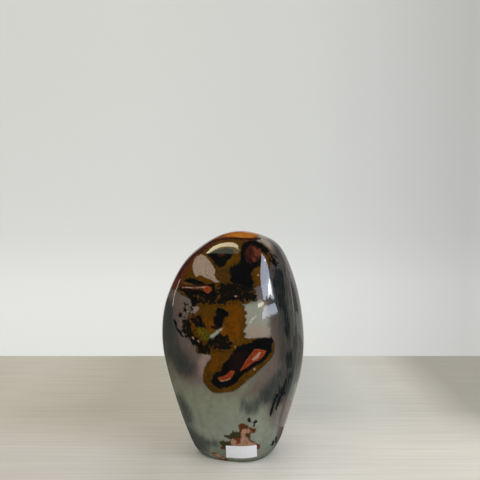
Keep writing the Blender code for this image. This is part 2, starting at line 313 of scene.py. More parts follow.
# Where each mineral lies, with painted shade and painted reflections laid in among them.
# An outline is (x, z) in mm on the front or, for "back", seen through the stone from the front.
# A line is its width in mm and the places that it passes.
markings = {
    "ochre": {
        "front": [[
            (-60, 95), (-43.5, 98), (-42.2, 104), (-40.6, 108), (-36.5, 108.5), (-31.5, 106),
            (-26.5, 104), (-25.5, 101.5), (-21.5, 100), (-20.5, 98.5), (-23, 95.5), (-27.5, 94),
            (-28, 91.5), (-31, 89.5), (-30.5, 86.5), (-31, 84.5), (-27.5, 80), (-23, 76), (-22.5, 72),
            (-20.5, 71), (-15, 71), (-13.5, 69.5), (-14, 67.5), (-17, 62.5), (-18.5, 55.5), (-17.5, 52),
            (-13.5, 47), (-10, 46), (-3, 47), (1, 48), (8, 53.5), (21.5, 65.5), (24.5, 68.5),
            (25.5, 73), (24.5, 79), (16, 80.5), (9.5, 80.5), (6.8, 81.8), (8.2, 83.4), (6.2, 85),
            (7, 87), (8.7, 88.8), (6.9, 90.4), (8.3, 92.2), (6.7, 94.2), (8.5, 96), (6.6, 98.2),
            (7.2, 100), (5, 101.5), (9, 102), (11.4, 103.4), (14, 104.5), (12, 106.4), (13.4, 108.5),
            (12.2, 110.4), (14.5, 112), (19.5, 114), (21, 118), (23.5, 125), (23, 130), (20.5, 135),
            (14.5, 139.5), (16, 152), (-60, 152),
        ]],
        "back": [
            [
                (-60, 95), (-44, 97), (-42, 90), (-39, 92), (-36.5, 101), (-33, 103), (-30, 96),
                (-25, 92), (-24, 84), (-17, 79), (-10, 83), (-6, 92), (2, 96), (7, 90), (14, 92),
                (17, 101), (13, 108), (19, 115), (25, 120), (26, 128), (21, 135), (14.5, 139.5),
                (16, 152), (-60, 152),
            ],
            [
                (3, 38), (9, 31), (18, 33), (25, 31), (31, 40), (27, 49), (29, 57), (35, 66), (34, 73),
                (29, 72), (23, 64), (14, 60), (6, 57), (4, 49), (0, 44),
            ],
            [(-31, 52), (-28, 61), (-22, 66), (-19, 60), (-23, 51), (-29, 45)],
        ],
    },
    "island": {
        "front": [[
            (-19, 130.5), (-16.5, 129), (-13.5, 125.5), (-11, 121.5), (-11.5, 119), (-10, 116),
            (-8, 115), (-10.5, 114.5), (-15, 116.5), (-20.5, 118.5), (-22.5, 117.5), (-24.5, 119.5),
            (-25.5, 124), (-24, 128.5), (-21, 130.5),
        ]],
        "back": [[(-20, 112), (-14, 116), (-10, 112), (-12, 105), (-18, 103), (-22, 107)]],
    },
    "black": {
        "front": [
            [
                (-15.5, 131), (-12.5, 132.5), (-9, 133.5), (-4.5, 134.5), (-0.5, 134), (0, 132),
                (-2, 129), (-4, 127), (-5, 125), (-7, 124), (-9.5, 124.5), (-11.5, 126.5), (-13, 128.5),
            ],
            [
                (-30, 115), (-27.5, 116), (-25, 116), (-21.5, 115), (-19, 114), (-16.5, 113),
                (-12, 113.5), (-12, 112.3), (-19, 112.4), (-25.5, 113.4), (-30, 114),
            ],
            [
                (-33.5, 110), (-26.5, 109.8), (-20, 109.6), (-15, 107.4), (-12.6, 109), (-12.8, 112.6),
                (-11.4, 112), (-10.6, 108), (-12, 105.6), (-17, 106.8), (-22, 107), (-22, 102),
                (-24, 100), (-25.5, 100.7), (-26, 103.5), (-28, 106), (-31.5, 108.5),
            ],
            [
                (5, 132.5), (6, 136.8), (9, 138.8), (13, 139.2), (17, 138), (20, 135.5), (22.3, 133),
                (22, 131), (19.5, 132.6), (17.5, 132.5), (17, 129.5), (17.5, 126), (15.5, 124),
                (12.4, 122.4), (10.8, 120), (11.4, 117), (12.3, 114), (11, 111.5), (8, 111.8),
                (4.3, 113.6), (0.7, 113.9), (-1.5, 115.4), (-0.9, 119), (-1.8, 122), (-1.5, 123.7),
                (1, 124.3), (3.5, 125.4), (5, 127.5),
            ],
            [
                (-10, 98), (-8.5, 99), (-6, 98.3), (-3, 96.5), (-2.8, 95), (-5.5, 93.5), (-6.3, 90),
                (-7, 88.3), (-8.8, 87.3), (-10, 88.2), (-11.5, 90.5), (-11.8, 92.5), (-10, 95),
            ],
            [(-21.7, 93.7), (-20.2, 93.4), (-18.6, 89.2), (-19, 87.2), (-21, 86.8), (-20.6, 90)],
            [(-13.4, 87.9), (-11.5, 87.7), (-9.5, 86.6), (-12, 86.7)],
            [
                (0.7, 72.4), (2.5, 75.2), (5, 76.2), (11.7, 78.1), (16, 79.8), (24.3, 79.4), (23.8, 76),
                (23, 71), (18.2, 66.1), (11, 61.8), (6.2, 58.2), (2, 53.7), (-1.2, 51.2), (-7.4, 49.5),
                (-10.4, 50.3), (-12.8, 52.5), (-12, 56.7), (-10, 59), (-7, 60.5), (-5.5, 64.8),
                (-1.5, 69),
            ],
            [(23.2, 129.8), (25.8, 128.5), (27, 126), (27, 123.5), (25.7, 125.4)],
            [(-33.5, 94.5), (-32, 94.5), (-32, 93), (-33.2, 92.6)],
        ],
        "back": [
            [
                (2, 113), (6, 108), (11, 109), (9, 115), (12, 123), (9, 130), (3, 129), (-2, 132),
                (-9, 128), (-7, 121), (-11, 116), (-5, 114),
            ],
            [
                (-34, 103), (-29, 96), (-25, 92), (-24, 84), (-17, 79), (-10, 83), (-15, 87), (-20, 88),
                (-24, 97),
            ],
            [
                (6, 43), (10, 36), (17, 38), (24, 37), (26, 43), (23, 49), (26, 57), (31, 66), (28, 67),
                (22, 59), (15, 55), (9, 53), (8, 48),
            ],
            [(-33, 126), (-28, 131), (-22, 131), (-25, 125), (-30, 121)],
        ],
        "frontLines": [
            (0.9, [(-36.5, 90), (-35.5, 87.5), (-35.3, 85.8), (-33, 83.2), (-31, 80.8)]),
            (0.8, [(-2.4, 104.6), (1.9, 105.3), (6.2, 104.9), (11.1, 105.7)]),
            (0.5, [(33.5, 51), (32.2, 46), (30.3, 43.2)]),
            (0.6, [(31.6, 42.8), (29.6, 40), (28.3, 36.3), (27.1, 33.3)]),
            (0.8, [(27.6, 42.6), (25.7, 38.4), (24.4, 34.7), (23.5, 29.5)]),
            (0.8, [(14.4, 27.4), (13.4, 26), (12.8, 24.6)]),
            (1.2, [(10, 29.2), (10.1, 28)]),
            (0.7, [(25.4, 10.9), (25.1, 8.6)]),
            (0.7, [(27.6, 12.5), (27.4, 9.5)]),
        ],
    },
    "moss": {
        "front": [
            [
                (-31, 90), (-29, 91.7), (-27, 91.5), (-26.5, 88.5), (-26, 85), (-22.7, 81), (-20, 78),
                (-16.5, 76.4), (-13.5, 74.6), (-13.5, 71.5), (-17.7, 70.7), (-21.5, 71.8),
                (-22.7, 74.8), (-25.8, 78.4), (-28.3, 81.9), (-31, 84),
            ],
            [
                (-14, 81.4), (-9.7, 83.4), (-5.4, 82.2), (-2.4, 79.8), (-0.5, 76.7), (-2.4, 74.8),
                (-6.7, 74.2), (-11, 74.7), (-14, 76.5), (-15, 79),
            ],
            [
                (-5, 113.6), (-0.5, 114.2), (4.3, 113.6), (9.2, 112.4), (13, 110), (14, 105.6),
                (11.7, 103.9), (8, 103.4), (3, 103.5), (-1.8, 103.3), (-6.7, 102), (-10.3, 103.4),
                (-8.5, 106.4), (-9, 110), (-8, 112.4),
            ],
            [
                (-22, 109), (-16, 108), (-12.2, 110.5), (-10, 108), (-10.5, 103), (-14, 101.8),
                (-18, 101.8), (-21, 103.5),
            ],
            [
                (-26.4, 91.3), (-22.7, 92.7), (-20.8, 92.8), (-19.3, 90.4), (-18.9, 87.4),
                (-20.8, 86.1), (-22.7, 88.4),
            ],
            [
                (22.5, 133), (25.5, 129), (27, 125.5), (26.5, 122), (25, 124.5), (22.5, 128.5),
                (20.5, 131.5),
            ],
        ],
        "frontLines": [
            (0.7, [(-29.8, 98.8), (-28.9, 100), (-27.6, 100.3)]),
            (0.8, [(-26, 99.4), (-25.4, 97.9)]),
            (0.7, [(-29.9, 97), (-29.3, 95.9)]),
            (0.6, [(-27.3, 95.4), (-26.2, 95.9)]),
        ],
        "back": [
            [(-8, 98), (2, 100), (12, 104), (15, 98), (9, 92), (0, 96), (-6, 92)],
            [(14, 116), (22, 121), (25, 128), (20, 131), (14, 124)],
            [(6, 38), (14, 32), (24, 35), (25, 38), (15, 36), (8, 41)],
        ],
    },
    "olive": {
        "front": [[
            (-22, 86.6), (-20, 86.7), (-16.5, 85), (-14, 83), (-14.6, 80.8), (-17, 79.5), (-19.6, 80.6),
            (-20.8, 83),
        ]],
        "back": [[(10, 104), (13, 106), (15, 103), (13, 100)]],
    },
    "umber": {
        "front": [[
            (-12, 124.2), (-7, 123.7), (-2.5, 124.3), (-1.2, 121.4), (-1.2, 116), (-3, 112), (-5, 105),
            (-8, 104), (-8, 110), (-8.5, 114.1), (-11, 118.3),
        ]],
        "back": [[(-16, 128), (-8, 136), (2, 136), (-6, 126), (-12, 118)]],
    },
    "amber": {
        "front": [
            [(-4, 101), (5, 100), (6, 92), (5, 84), (2, 80), (-5, 80), (-9, 84), (-5, 90), (-2, 95)],
            [(-25, 92), (-13, 93), (-12, 87), (-22, 86)],
            [(-13, 66), (-10, 69), (-8, 67), (-10, 62), (-13, 60)],
        ],
        "back": [[(-4, 104), (6, 108), (8, 102), (2, 98)]],
    },
    "rust": {
        "front": [[
            (-10.5, 139.5), (-16, 135.8), (-22.3, 130.2), (-25.5, 126), (-27, 122), (-31, 117),
            (-33.5, 113.5), (-38.2, 108.5), (-41, 106.5), (-42.6, 102), (-44, 99), (-60, 97),
            (-60, 152), (-12, 152),
        ]],
        "back": [
            [
                (-10.5, 139.5), (-14, 131), (-22, 128), (-24, 119), (-32, 115), (-35, 107), (-40, 105),
                (-43, 96), (-60, 97), (-60, 152), (-12, 152),
            ],
            [(-1, 120), (4, 124), (3, 128), (-3, 126)],
            [(-30, 56), (-26, 60), (-23, 60), (-25, 54)],
        ],
    },
    "maroon": {
        "front": [
            [
                (7.8, 133), (10.5, 136.6), (13.5, 136.4), (15.5, 134.6), (17, 132.6), (16.2, 130),
                (16.5, 127.5), (13.6, 126.6), (10.5, 125.9), (8.6, 127.4), (7.4, 130.3),
            ],
            [
                (-33.5, 113.3), (-29, 112.6), (-24, 112.6), (-17, 112.6), (-18, 110.4), (-23, 109.8),
                (-28, 109.6), (-33, 110.2),
            ],
            [(-10, 131.6), (-7.5, 132), (-4.6, 131.8), (-5.8, 130.6), (-9, 130.4)],
        ],
        "back": [[(-3, 118), (1, 117), (6, 120.5), (7.6, 126), (4, 127.6), (0, 124.6), (-4, 125)]],
    },
    "ballSpot": {
        "front": [
            [(13, 135), (16, 134.4), (17.4, 132), (16.6, 129.8), (14.6, 130.4), (13.4, 132.6)],
            [(12, 129), (14, 128.6), (13, 127)],
        ],
    },
    "emberShade": {
        "front": [[(0.5, 71), (5, 73), (8, 71), (7, 67), (5, 63), (2, 61), (-1, 62.5), (-1, 67)]],
    },
    "ringMark": {
        "frontLines": [
            (0.35, [(-16.7, 121.7), (-17.1, 119.9), (-16.2, 118.4), (-15.3, 119.7), (-15.5, 121.7)]),
            (0.4, [(-21, 128.4), (-20.4, 127.6)]),
            (0.4, [(-14, 117.6), (-12.6, 117.2)]),
        ],
    },
    "core": {
        "front": [
            [
                (29, 122.5), (31.6, 120.4), (32.6, 112.4), (33.2, 104.3), (34.4, 95.5), (35.4, 86),
                (35, 78), (34, 78), (33.2, 86), (31.6, 92), (29.5, 97.4), (27.5, 103), (26, 108),
                (25.6, 113.3), (26.6, 118),
            ],
            [(34.6, 68.5), (36.5, 66.5), (37, 62), (35.8, 59.5), (34.2, 63)],
            [(35.5, 55), (36.8, 51.6), (34.4, 46), (32.4, 43.4), (33.6, 50)],
            [(29, 47.5), (30.4, 44.6), (29, 40), (26.6, 37.6), (26.8, 41.6)],
        ],
        "back": [
            [(-17, 56), (-14, 46), (-17, 34), (-20, 44)],
            [(36, 96), (38, 84), (35, 76), (34, 88)],
        ],
    },
    "tan": {
        "front": [[(-31.5, 113.8), (-28, 113.5), (-25, 112.7), (-28, 112.2), (-31, 112.7)]],
        "frontLines": [
            (0.4, [(-24.7, 106.2), (-21.5, 105.6), (-18.4, 104.6), (-17.1, 103)]),
            (0.8, [(13.4, 121.5), (15.5, 122), (16.2, 119.8)]),
            (0.6, [(17.5, 138.4), (21, 135.8), (24, 132.5), (25.5, 129.5)]),
            (0.5, [(21.5, 132), (23.3, 129.6), (24.3, 127)]),
        ],
    },
    "ember": {
        "front": [
            [
                (4.3, 60.7), (6.8, 64.8), (8, 67), (11.7, 71.9), (13.2, 73.5), (15.4, 73.8),
                (20.1, 72.3), (19.5, 70.5), (16.9, 67.5), (12.6, 65.6), (8.6, 62.6), (6.8, 61.7),
            ],
            [
                (-9.5, 55.8), (-5.2, 57.5), (-1.5, 60.4), (0.1, 60.6), (0.8, 59.5), (-1.5, 55.6),
                (-3.6, 54.5), (-6.1, 53.8), (-8, 54.2),
            ],
            [
                (-19, 111), (-17.2, 112.1), (-15.3, 112.2), (-13.6, 111.2), (-14.1, 109.3),
                (-15.3, 107.8), (-16.6, 108.8),
            ],
        ],
        "back": [
            [(9, 44), (11, 39.5), (16, 41), (21, 40.5), (21.5, 43), (17.5, 46), (13, 46), (11, 48)],
            [(19, 51), (22, 53.5), (24.5, 58.5), (27.5, 63.5), (25.5, 62.5), (20, 56)],
        ],
    },
    "cream": {
        "front": [[
            (11.7, 67.5), (12.9, 69), (14.5, 70.2), (15.7, 71.6), (16.8, 72), (17, 70.8), (14.8, 68),
            (12.9, 66.9),
        ]],
        "frontLines": [
            (0.6, [(-8, 54.2), (-4.3, 54.6), (-1.6, 55.8)]),
            (0.55, [(-31.9, 110.4), (-26.7, 110.8), (-20.3, 111.2), (-16.6, 111.5)]),
            (1.0, [(13.2, 61.7), (13.2, 61.1)]),
            (1.0, [(-24.8, 80.8), (-24.3, 80)]),
            (0.7, [(-21.5, 79.2), (-21, 78.2)]),
            (0.8, [(1.1, 75.6), (1.5, 75.3)]),
            (0.55, [(1.2, 106.2), (1.6, 106.7), (2.2, 106)]),
            (0.4, [(5.6, 104.9), (6.4, 104.6)]),
            (0.35, [(7.2, 104.2), (7.5, 103.8)]),
            (0.7, [(15.3, 118.8), (15.8, 118.6)]),
            (0.5, [(-6.7, 53.9), (-6.3, 53.6)]),
            (0.5, [(-26.9, 76.2), (-26.6, 75.9)]),
            (0.5, [(-16, 135.4), (-15.6, 135.2)]),
            (0.4, [(-33, 98.6), (-32.6, 98)]),
        ],
    },
    "cap": {
        "front": [[
            (-16.5, 139.5), (-12, 140.2), (-6, 141), (2, 141.2), (9.5, 141), (14, 141.5), (16, 142.8),
            (18, 152), (-20, 152),
        ]],
        "back": [[
            (-11, 142), (-7, 139.5), (0, 138), (8, 139), (14, 140.5), (16.3, 142.2), (18, 152),
            (-16, 152),
        ]],
    },
    "capBrown": {
        "front": [[
            (-20, 138), (-12, 140), (-6.5, 141), (-4.5, 142), (-6, 143.6), (-9, 152), (-30, 152),
        ]],
        "back": [[(-12, 139), (-7, 138), (-3, 140), (-6, 143.5), (-9, 152), (-20, 152)]],
    },
    "purple": {
        "frontLines": [
            (1.4, [
                (16.9, 140.5), (14.5, 140.2), (10.7, 140.2), (4.3, 140.5), (-2, 140.8), (-7, 140.2),
            ]),
            (1.2, [(-5, 140.8), (-11.6, 139), (-15.5, 137.4), (-19.3, 135)]),
            (0.8, [(-14, 136.6), (-19, 133.4), (-22.4, 130.4)]),
            (1.3, [(-19.3, 135), (-22.4, 132.6), (-25.5, 129.6), (-28, 126)]),
            (1.0, [(-28, 126), (-30.7, 123), (-33.2, 119.2), (-35.1, 115.5)]),
        ],
        "backLines": [
            (1.6, [(17, 139.5), (8, 137.6), (0, 136.6), (-8, 138.4), (-14, 136), (-21, 131)]),
        ],
    },
    "figBrown": {
        "front": [
            [
                (3.7, 25.7), (5.3, 26.4), (7.4, 26.1), (9.3, 24.7), (10.9, 23.7), (12.4, 23),
                (14.3, 23.1), (14.5, 21), (13.7, 19.8), (11.5, 20), (10.9, 18.7), (10.9, 16.4),
                (11.8, 14.7), (15.6, 12.5), (16.8, 10.3), (16, 8.6), (10.6, 8), (-5.7, 8), (-7.6, 11),
                (-8.9, 13), (-4.4, 13.8), (-2.2, 14.3), (-2.2, 16), (-5.7, 17.1), (-4.4, 18.3),
                (-2.5, 18.3), (-1.3, 20.1), (0.6, 20.9), (3.4, 20.4), (3.7, 22.7),
            ],
            [
                (-13.4, 5), (-11.5, 5), (-8.9, 4.4), (-6.4, 3.2), (-3.9, 1.7), (-3.6, 0.4), (-7.1, 0.4),
                (-12.5, 3.3),
            ],
        ],
        "back": [[(-8, 12), (-3, 18), (2, 14), (4, 8), (-2, 5), (-7, 7)]],
    },
    "figPink": {
        "front": [
            [
                (5.8, 21.8), (8.1, 22.4), (10.6, 22), (11.2, 21.3), (8.7, 20.2), (7, 18.6), (8.3, 17.5),
                (10, 15.6), (11.2, 13.8), (14, 12.4), (13.5, 8.5), (4.6, 8.5), (4.6, 12), (5, 15.4),
                (5.2, 19),
            ],
            [(-1.3, 15.1), (0.4, 15.8), (1.8, 14), (3.4, 12), (2.8, 10.5), (0, 10.5), (-1.3, 13.4)],
            [(-12, 4.1), (-9.5, 4.2), (-6.5, 2.6), (-5.4, 1.6), (-9.8, 2.2)],
        ],
        "back": [[(-4, 12), (-2, 14), (0.5, 11), (-2, 8.5)]],
    },
    "figRed": {
        "front": [
            [
                (1.2, 16.2), (3.1, 17), (5, 16.6), (6, 14.8), (6.2, 13), (4.7, 12.2), (3.4, 12.6),
                (1.8, 14.2),
            ],
            [(11.2, 14), (14.4, 13), (16.3, 10.7), (16.3, 8.6), (15, 9.5), (13.7, 11.6)],
            [(-13.4, 4.6), (-11.8, 5.1), (-10.4, 4.6), (-12, 3.9)],
        ],
    },
    "leaf": {
        "front": [
            [
                (-5.7, 17.1), (-4.4, 18.3), (-2.5, 18.3), (-1.3, 20.1), (0.6, 20.9), (4.3, 20.1),
                (5, 18.1), (3.1, 16), (-2.2, 16),
            ],
            [
                (-8.9, 13), (-7, 13.9), (-4.4, 13.8), (-1.9, 14.3), (-1.3, 12), (-5.7, 10.4),
                (-7.6, 11.2),
            ],
            [(8.4, 18.1), (9.9, 19.4), (11.2, 18.7), (11.1, 16.4), (9.6, 16.8)],
        ],
    },
    "slate": {
        "front": [
            [
                (-60, 16), (-30, 19), (-25.8, 18.4), (-22.4, 16), (-18, 14), (-12, 12.6), (-9.5, 10.6),
                (-14, 9.6), (-17, 8.6), (-20, 5), (-30, 2),
            ],
            [(-35, 40), (-32, 39.5), (-28.5, 33.5), (-27, 25), (-28, 19), (-31, 20), (-33.5, 28.5)],
            [
                (6, 41.5), (9, 41.5), (12, 39), (15.5, 39.5), (17, 37.5), (14.5, 35), (10.5, 33),
                (7.5, 34), (5.5, 38),
            ],
            [
                (11, 39), (14, 43.4), (18.5, 48), (23, 52.4), (28, 57), (31, 56), (28.6, 50),
                (26, 45.5), (22.5, 41), (18.5, 37.5), (14, 36.5),
            ],
            [
                (30, 122.5), (31.6, 119.4), (32.1, 111.4), (32.7, 103.3), (34, 94.5), (34.5, 86),
                (33.2, 85), (32, 91), (30.7, 97.4), (28, 102), (26, 108), (25.5, 113.3), (27, 118),
            ],
            [(34, 70.5), (37, 68), (38, 63), (37, 58), (34.8, 58.8), (33.2, 64.3)],
            [
                (36.2, 56.5), (38, 51.6), (35.7, 46), (33, 40.3), (31, 38), (30.3, 42), (32, 47.5),
                (34, 52.3),
            ],
            [
                (29.5, 48.8), (31.6, 46.2), (30.3, 41), (27.7, 38.5), (25.7, 34.3), (23.8, 32),
                (24.4, 36.7), (26.3, 41.6),
            ],
            [
                (-43.2, 99), (-39.8, 101), (-38, 95), (-37.6, 86), (-37, 78), (-39, 73), (-42.5, 76),
                (-43.8, 88),
            ],
            [
                (-40.5, 74.5), (-36.5, 72.5), (-32.5, 68), (-27.5, 63.5), (-28.5, 60), (-32, 60),
                (-36, 63.5), (-40, 69),
            ],
        ],
        "frontLines": [
            (0.8, [(39.7, 99), (41, 89), (42.5, 78.5), (44, 67.5), (45, 58.5)]),
        ],
        "back": [
            [
                (-20, 72), (-14, 66), (-12, 50), (-16, 34), (-14, 20), (-20, 12), (-24, 26), (-22, 44),
                (-26, 58),
            ],
            [(26, 108), (34, 100), (38, 84), (36, 66), (31, 70), (32, 84), (27, 94)],
            [(0, 30), (6, 26), (4, 14), (0, 4), (-5, 10), (-4, 22)],
            [(-46, 84), (-39, 86), (-37, 72), (-40, 60), (-46, 66)],
        ],
    },
    # darker grey down the right and left sides: partly slate, partly painted shade where those sides turn
    # away from the light
    "shade": {
        "front": [
            [
                (27, 136), (33, 128), (40, 112), (60, 100), (60, 50), (42, 46), (38, 38), (34, 37),
                (30, 36), (25, 36), (17, 40), (18, 43), (22, 48), (27, 53), (29, 60), (28, 70),
                (27, 80), (26, 90), (24, 98), (22.5, 108), (22.5, 118), (24, 128),
            ],
            [
                (-43.5, 100), (-41, 102), (-38, 97), (-36, 84), (-33, 76), (-26, 68), (-22, 61),
                (-28, 55), (-36, 58), (-42, 68), (-44.5, 84),
            ],
        ],
        "back": [
            [
                (26, 116), (40, 116), (60, 100), (60, 44), (42, 50), (37, 38), (33, 24), (28, 30),
                (31, 48), (30, 60), (27, 80), (22, 98),
            ],
            [(-43, 98), (-38, 96), (-34, 84), (-32, 72), (-36, 60), (-42, 70)],
        ],
    },
    # light and dark grey lines down the right side: partly streaks in the stone, partly a painted reflection
    # of the bright wall
    "streakAndPaintedReflection": {
        "frontLines": [
            (0.7, [(33.7, 119.5), (34.9, 109), (35.6, 99.8), (36.3, 90)]),
            (0.9, [(35.8, 117), (36.9, 106.3), (37.7, 97.5), (38.4, 88.6), (39.2, 79)]),
            (0.5, [(41, 88), (41.8, 76), (42.5, 66)]),
            (0.5, [(29.6, 128), (31.5, 121), (33.2, 113)]),
            (0.6, [(27.5, 127), (29, 124.5), (29.6, 122)]),
            (0.5, [(37, 92), (37.6, 80), (37.2, 72)]),
        ],
        "backLines": [
            (0.8, [(36, 112), (38, 96), (39, 80)]),
            (0.6, [(30, 98), (31, 84), (33, 70), (32, 58)]),
        ],
    },
    "paleAndPaintedReflection": {
        "front": [
            [
                (5.5, 101), (9.2, 101.8), (14, 103), (18, 102.8), (20.6, 99), (21.6, 92), (22.5, 86),
                (21.6, 81.5), (17.8, 81), (14, 79.5), (9, 79.5), (5, 82), (5, 87), (5.5, 93),
            ],
            # by the crown's right: a painted reflection of the wall, laid in as a pale patch
            [
                (14.5, 140.4), (17, 139.4), (20, 137), (22, 135.5), (24, 136), (22.5, 139), (19, 142.6),
                (15, 143),
            ],
        ],
        "back": [
            [(-8, 78), (2, 86), (9, 78), (6, 66), (-4, 62), (-11, 68)],
            [(28, 120), (34, 116), (32, 108), (26, 112)],
        ],
    },
    "haze": {
        "front": [
            [
                (12.4, 107.5), (13.5, 110.5), (15.4, 112.2), (18, 113), (22, 112), (24, 104),
                (22, 103.8), (17.2, 104), (14.1, 104.2),
            ],
            [
                (20, 126), (22, 131), (19, 136), (20, 139), (24, 136.5), (28, 131), (29, 127),
                (27, 121), (24, 118), (21.5, 114), (20, 118),
            ],
        ],
        "back": [[(20, 112), (26, 114), (28, 106), (22, 104)]],
    },
    "mauve": {
        "front": [
            [
                (-29, 85), (-25, 79), (-21.5, 73), (-17.5, 69.5), (-13.5, 68.5), (-16, 63), (-18, 57),
                (-20.5, 54), (-25.5, 51), (-31, 53), (-33, 57.5), (-28, 62), (-30.5, 69), (-33, 75),
                (-33.5, 82),
            ],
            [
                (18, 59), (23, 65), (26.5, 72), (29, 66), (29.5, 57), (25.5, 50), (19, 44.5), (13, 43),
                (6, 45), (10.5, 52),
            ],
            [(21, 38), (25, 41), (29, 38), (29, 29), (26, 21), (22.5, 27)],
            [(-42, 107), (-30, 105), (-27, 101), (-26, 96), (-31, 88), (-34, 84), (-38, 96)],
            [(24, 82), (27, 88), (30, 82), (30, 72), (26.5, 70), (24.5, 76)],
        ],
        "back": [
            [(18, 76), (34, 74), (38, 96), (30, 112), (18, 104)],
            [(-36, 44), (-24, 40), (-22, 24), (-30, 20)],
            [(8, 26), (20, 26), (24, 14), (14, 8)],
        ],
    },
    "blushAndPaintedReflection": {
        "front": [
            [(8.5, 87), (14, 87.5), (20, 86.5), (22.5, 83), (18, 79.5), (10, 79.5), (6.5, 82)],
            [
                (-19, 71), (-13.5, 70.5), (-12.5, 68), (-16, 63.8), (-17.5, 57), (-20, 57),
                (-21.5, 62.8), (-20, 68),
            ],
            [(-26, 100), (-22, 99.5), (-21, 98), (-24, 96), (-27, 97.5)],
            # by the crown's right: a painted reflection of the wall, laid in as a blush
            [(15, 141), (19, 139), (22.5, 135), (24, 131.5), (26, 132), (24.5, 136), (20, 140.5)],
        ],
        "back": [[(-6, 70), (4, 72), (6, 66), (-2, 63)]],
    },
    "rind": {
        "front": [[
            (33, 40), (29.8, 29), (28.5, 19.5), (27.6, 10.5), (27, 6), (32, 6), (35.4, 22.5),
            (38.5, 34),
        ]],
        "back": [[(-34, 40), (-30, 28), (-28, 12), (-34, 12), (-38, 32)]],
    },
}

drawing = {
    "pointsPerSpan": 5,  # how finely an outline is rounded between its points
    "reach": 7.0,  # mm from an edge beyond which nothing is drawn
    "seamPlace": 5.5,  # mm: the back's outlines take over behind this y, where the front view ends
    "seamSlope": 0.08,  # how much farther back that lies per mm to the right
    "seamWidth": 3.0,  # mm on either side over which the two views blend
}


def roundedOutline(points, closed):
    # a Catmull-Rom curve through the points
    points = np.array(points, float)
    ends = (points[-1:], points[:2]) if closed else (points[:1], points[-1:])
    row = np.concatenate([ends[0], points, ends[1]])
    t = np.linspace(0, 1, drawing["pointsPerSpan"], endpoint=False)[:, None]
    spans = []
    for a, b, c, d in zip(row, row[1:], row[2:], row[3:]):
        square = 2 * a - 5 * b + 4 * c - d
        cube = 3 * b - a - 3 * c + d
        spans.append(b + (c - a) * t / 2 + square * t ** 2 / 2 + cube * t ** 3 / 2)
    if not closed:
        spans.append(points[-1:])
    return np.concatenate(spans)


def edgeDistance(places, points, closed):
    # mm from each place to an outline's edge, negative inside it
    curve = roundedOutline(points, closed)
    low, high = curve.min(axis=0) - drawing["reach"], curve.max(axis=0) + drawing["reach"]
    near = np.flatnonzero(((places > low) & (places < high)).all(axis=1))
    found = np.full(len(places), drawing["reach"])
    spot = places[near]
    squared = np.full(len(near), drawing["reach"] ** 2)
    inside = np.zeros(len(near), bool)
    ends = np.roll(curve, -1, axis=0) if closed else curve[1:]
    for (ax, ay), (bx, by) in zip(curve, ends):
        dx, dy = bx - ax, by - ay
        px, py = spot[:, 0] - ax, spot[:, 1] - ay
        along = np.clip((px * dx + py * dy) / max(dx * dx + dy * dy, 1e-9), 0, 1)
        squared = np.minimum(squared, (px - along * dx) ** 2 + (py - along * dy) ** 2)
        if closed and ay != by:
            inside ^= ((ay > spot[:, 1]) != (by > spot[:, 1])) & (px < dx * py / dy)
    found[near] = np.where(inside, -1, 1) * np.sqrt(squared)
    return found


def markingDistance(points, marking):
    # mm from each point of the stone to the nearest edge of one mineral's bodies
    sides = []
    for side in ("front", "back"):
        distance = np.full(len(points), drawing["reach"])
        for outline in marking.get(side, []):
            distance = np.minimum(distance, edgeDistance(points[:, [0, 2]], outline, True))
        for width, line in marking.get(side + "Lines", []):
            distance = np.minimum(distance, edgeDistance(points[:, [0, 2]], line, False) - width / 2)
        sides.append(distance)
    seam = drawing["seamPlace"] + drawing["seamSlope"] * points[:, 0]
    behind = np.clip((points[:, 1] - seam) / drawing["seamWidth"] / 2 + 0.5, 0, 1)
    behind = behind ** 2 * (3 - 2 * behind)
    return sides[0] * (1 - behind) + sides[1] * behind


def drawMarkings(mesh):
    # one number per mineral on every vertex: its distance in mm, which the material reads
    points = meshPoints(mesh) / mm
    distances = {name: markingDistance(points, marking) for name, marking in markings.items()}
    for name, distance in distances.items():
        mesh.attributes.new(name, "FLOAT", "POINT").data.foreach_set("value", distance.astype(np.float32))


# Polychrome jasper: opaque microcrystalline quartz, so its colours meet at crisp but ragged edges
jasperPolish = {
    "ior": 1.54,
    "roughness": (0.03, 0.06),
    "groundByHeight": [
        (0.00, "#767B6A"), (0.12, "#8B9082"), (0.28, "#868A76"), (0.40, "#6C6558"), (0.55, "#5A5149"),
        (0.72, "#635850"), (0.90, "#6A615B"), (1.00, "#6E6B65"),
    ],
    "groundTint": "#6A665C",
    "cloudiness": 0.16,  # how much the ground's brightness drifts
    "speckle": 0.10,  # and how much every colour is peppered
    "lapMarks": 0.004 * mm,
    "lapStrength": 0.5,
    "footRoughness": 0.55,
    "footHeight": 0.3 * mm,
    "grainRoughness": 0.6,
    "grainRange": (0.3, 0.7),  # the noise between these becomes -1 to 1
    "heightWander": 0.04,  # share of the height by which the ground's tones wander up and down
    "tintShare": 0.3,
    "colourRange": 0.6,  # grain at which a layer has reached its second colour, and minus that its first
}

# Noise that the layers share: grain size in mm, detail, how much longer it runs up the stone, swirl
jasperGrains = {
    "grit": (0.6, 2, 1.0, 0.0),
    "fine": (1.5, 3, 1.0, 0.3),
    "medium": (3.6, 3, 1.0, 0.3),
    "broad": (11.0, 3, 1.0, 0.4),
    "smoke": (4.5, 4, 3.0, 0.5),
    "thread": (1.4, 3, 9.0, 0.2),
    "blots": (2.3, 5, 1.0, 0.0),
    "flecks": (1.2, 5, 1.0, 0.0),
}

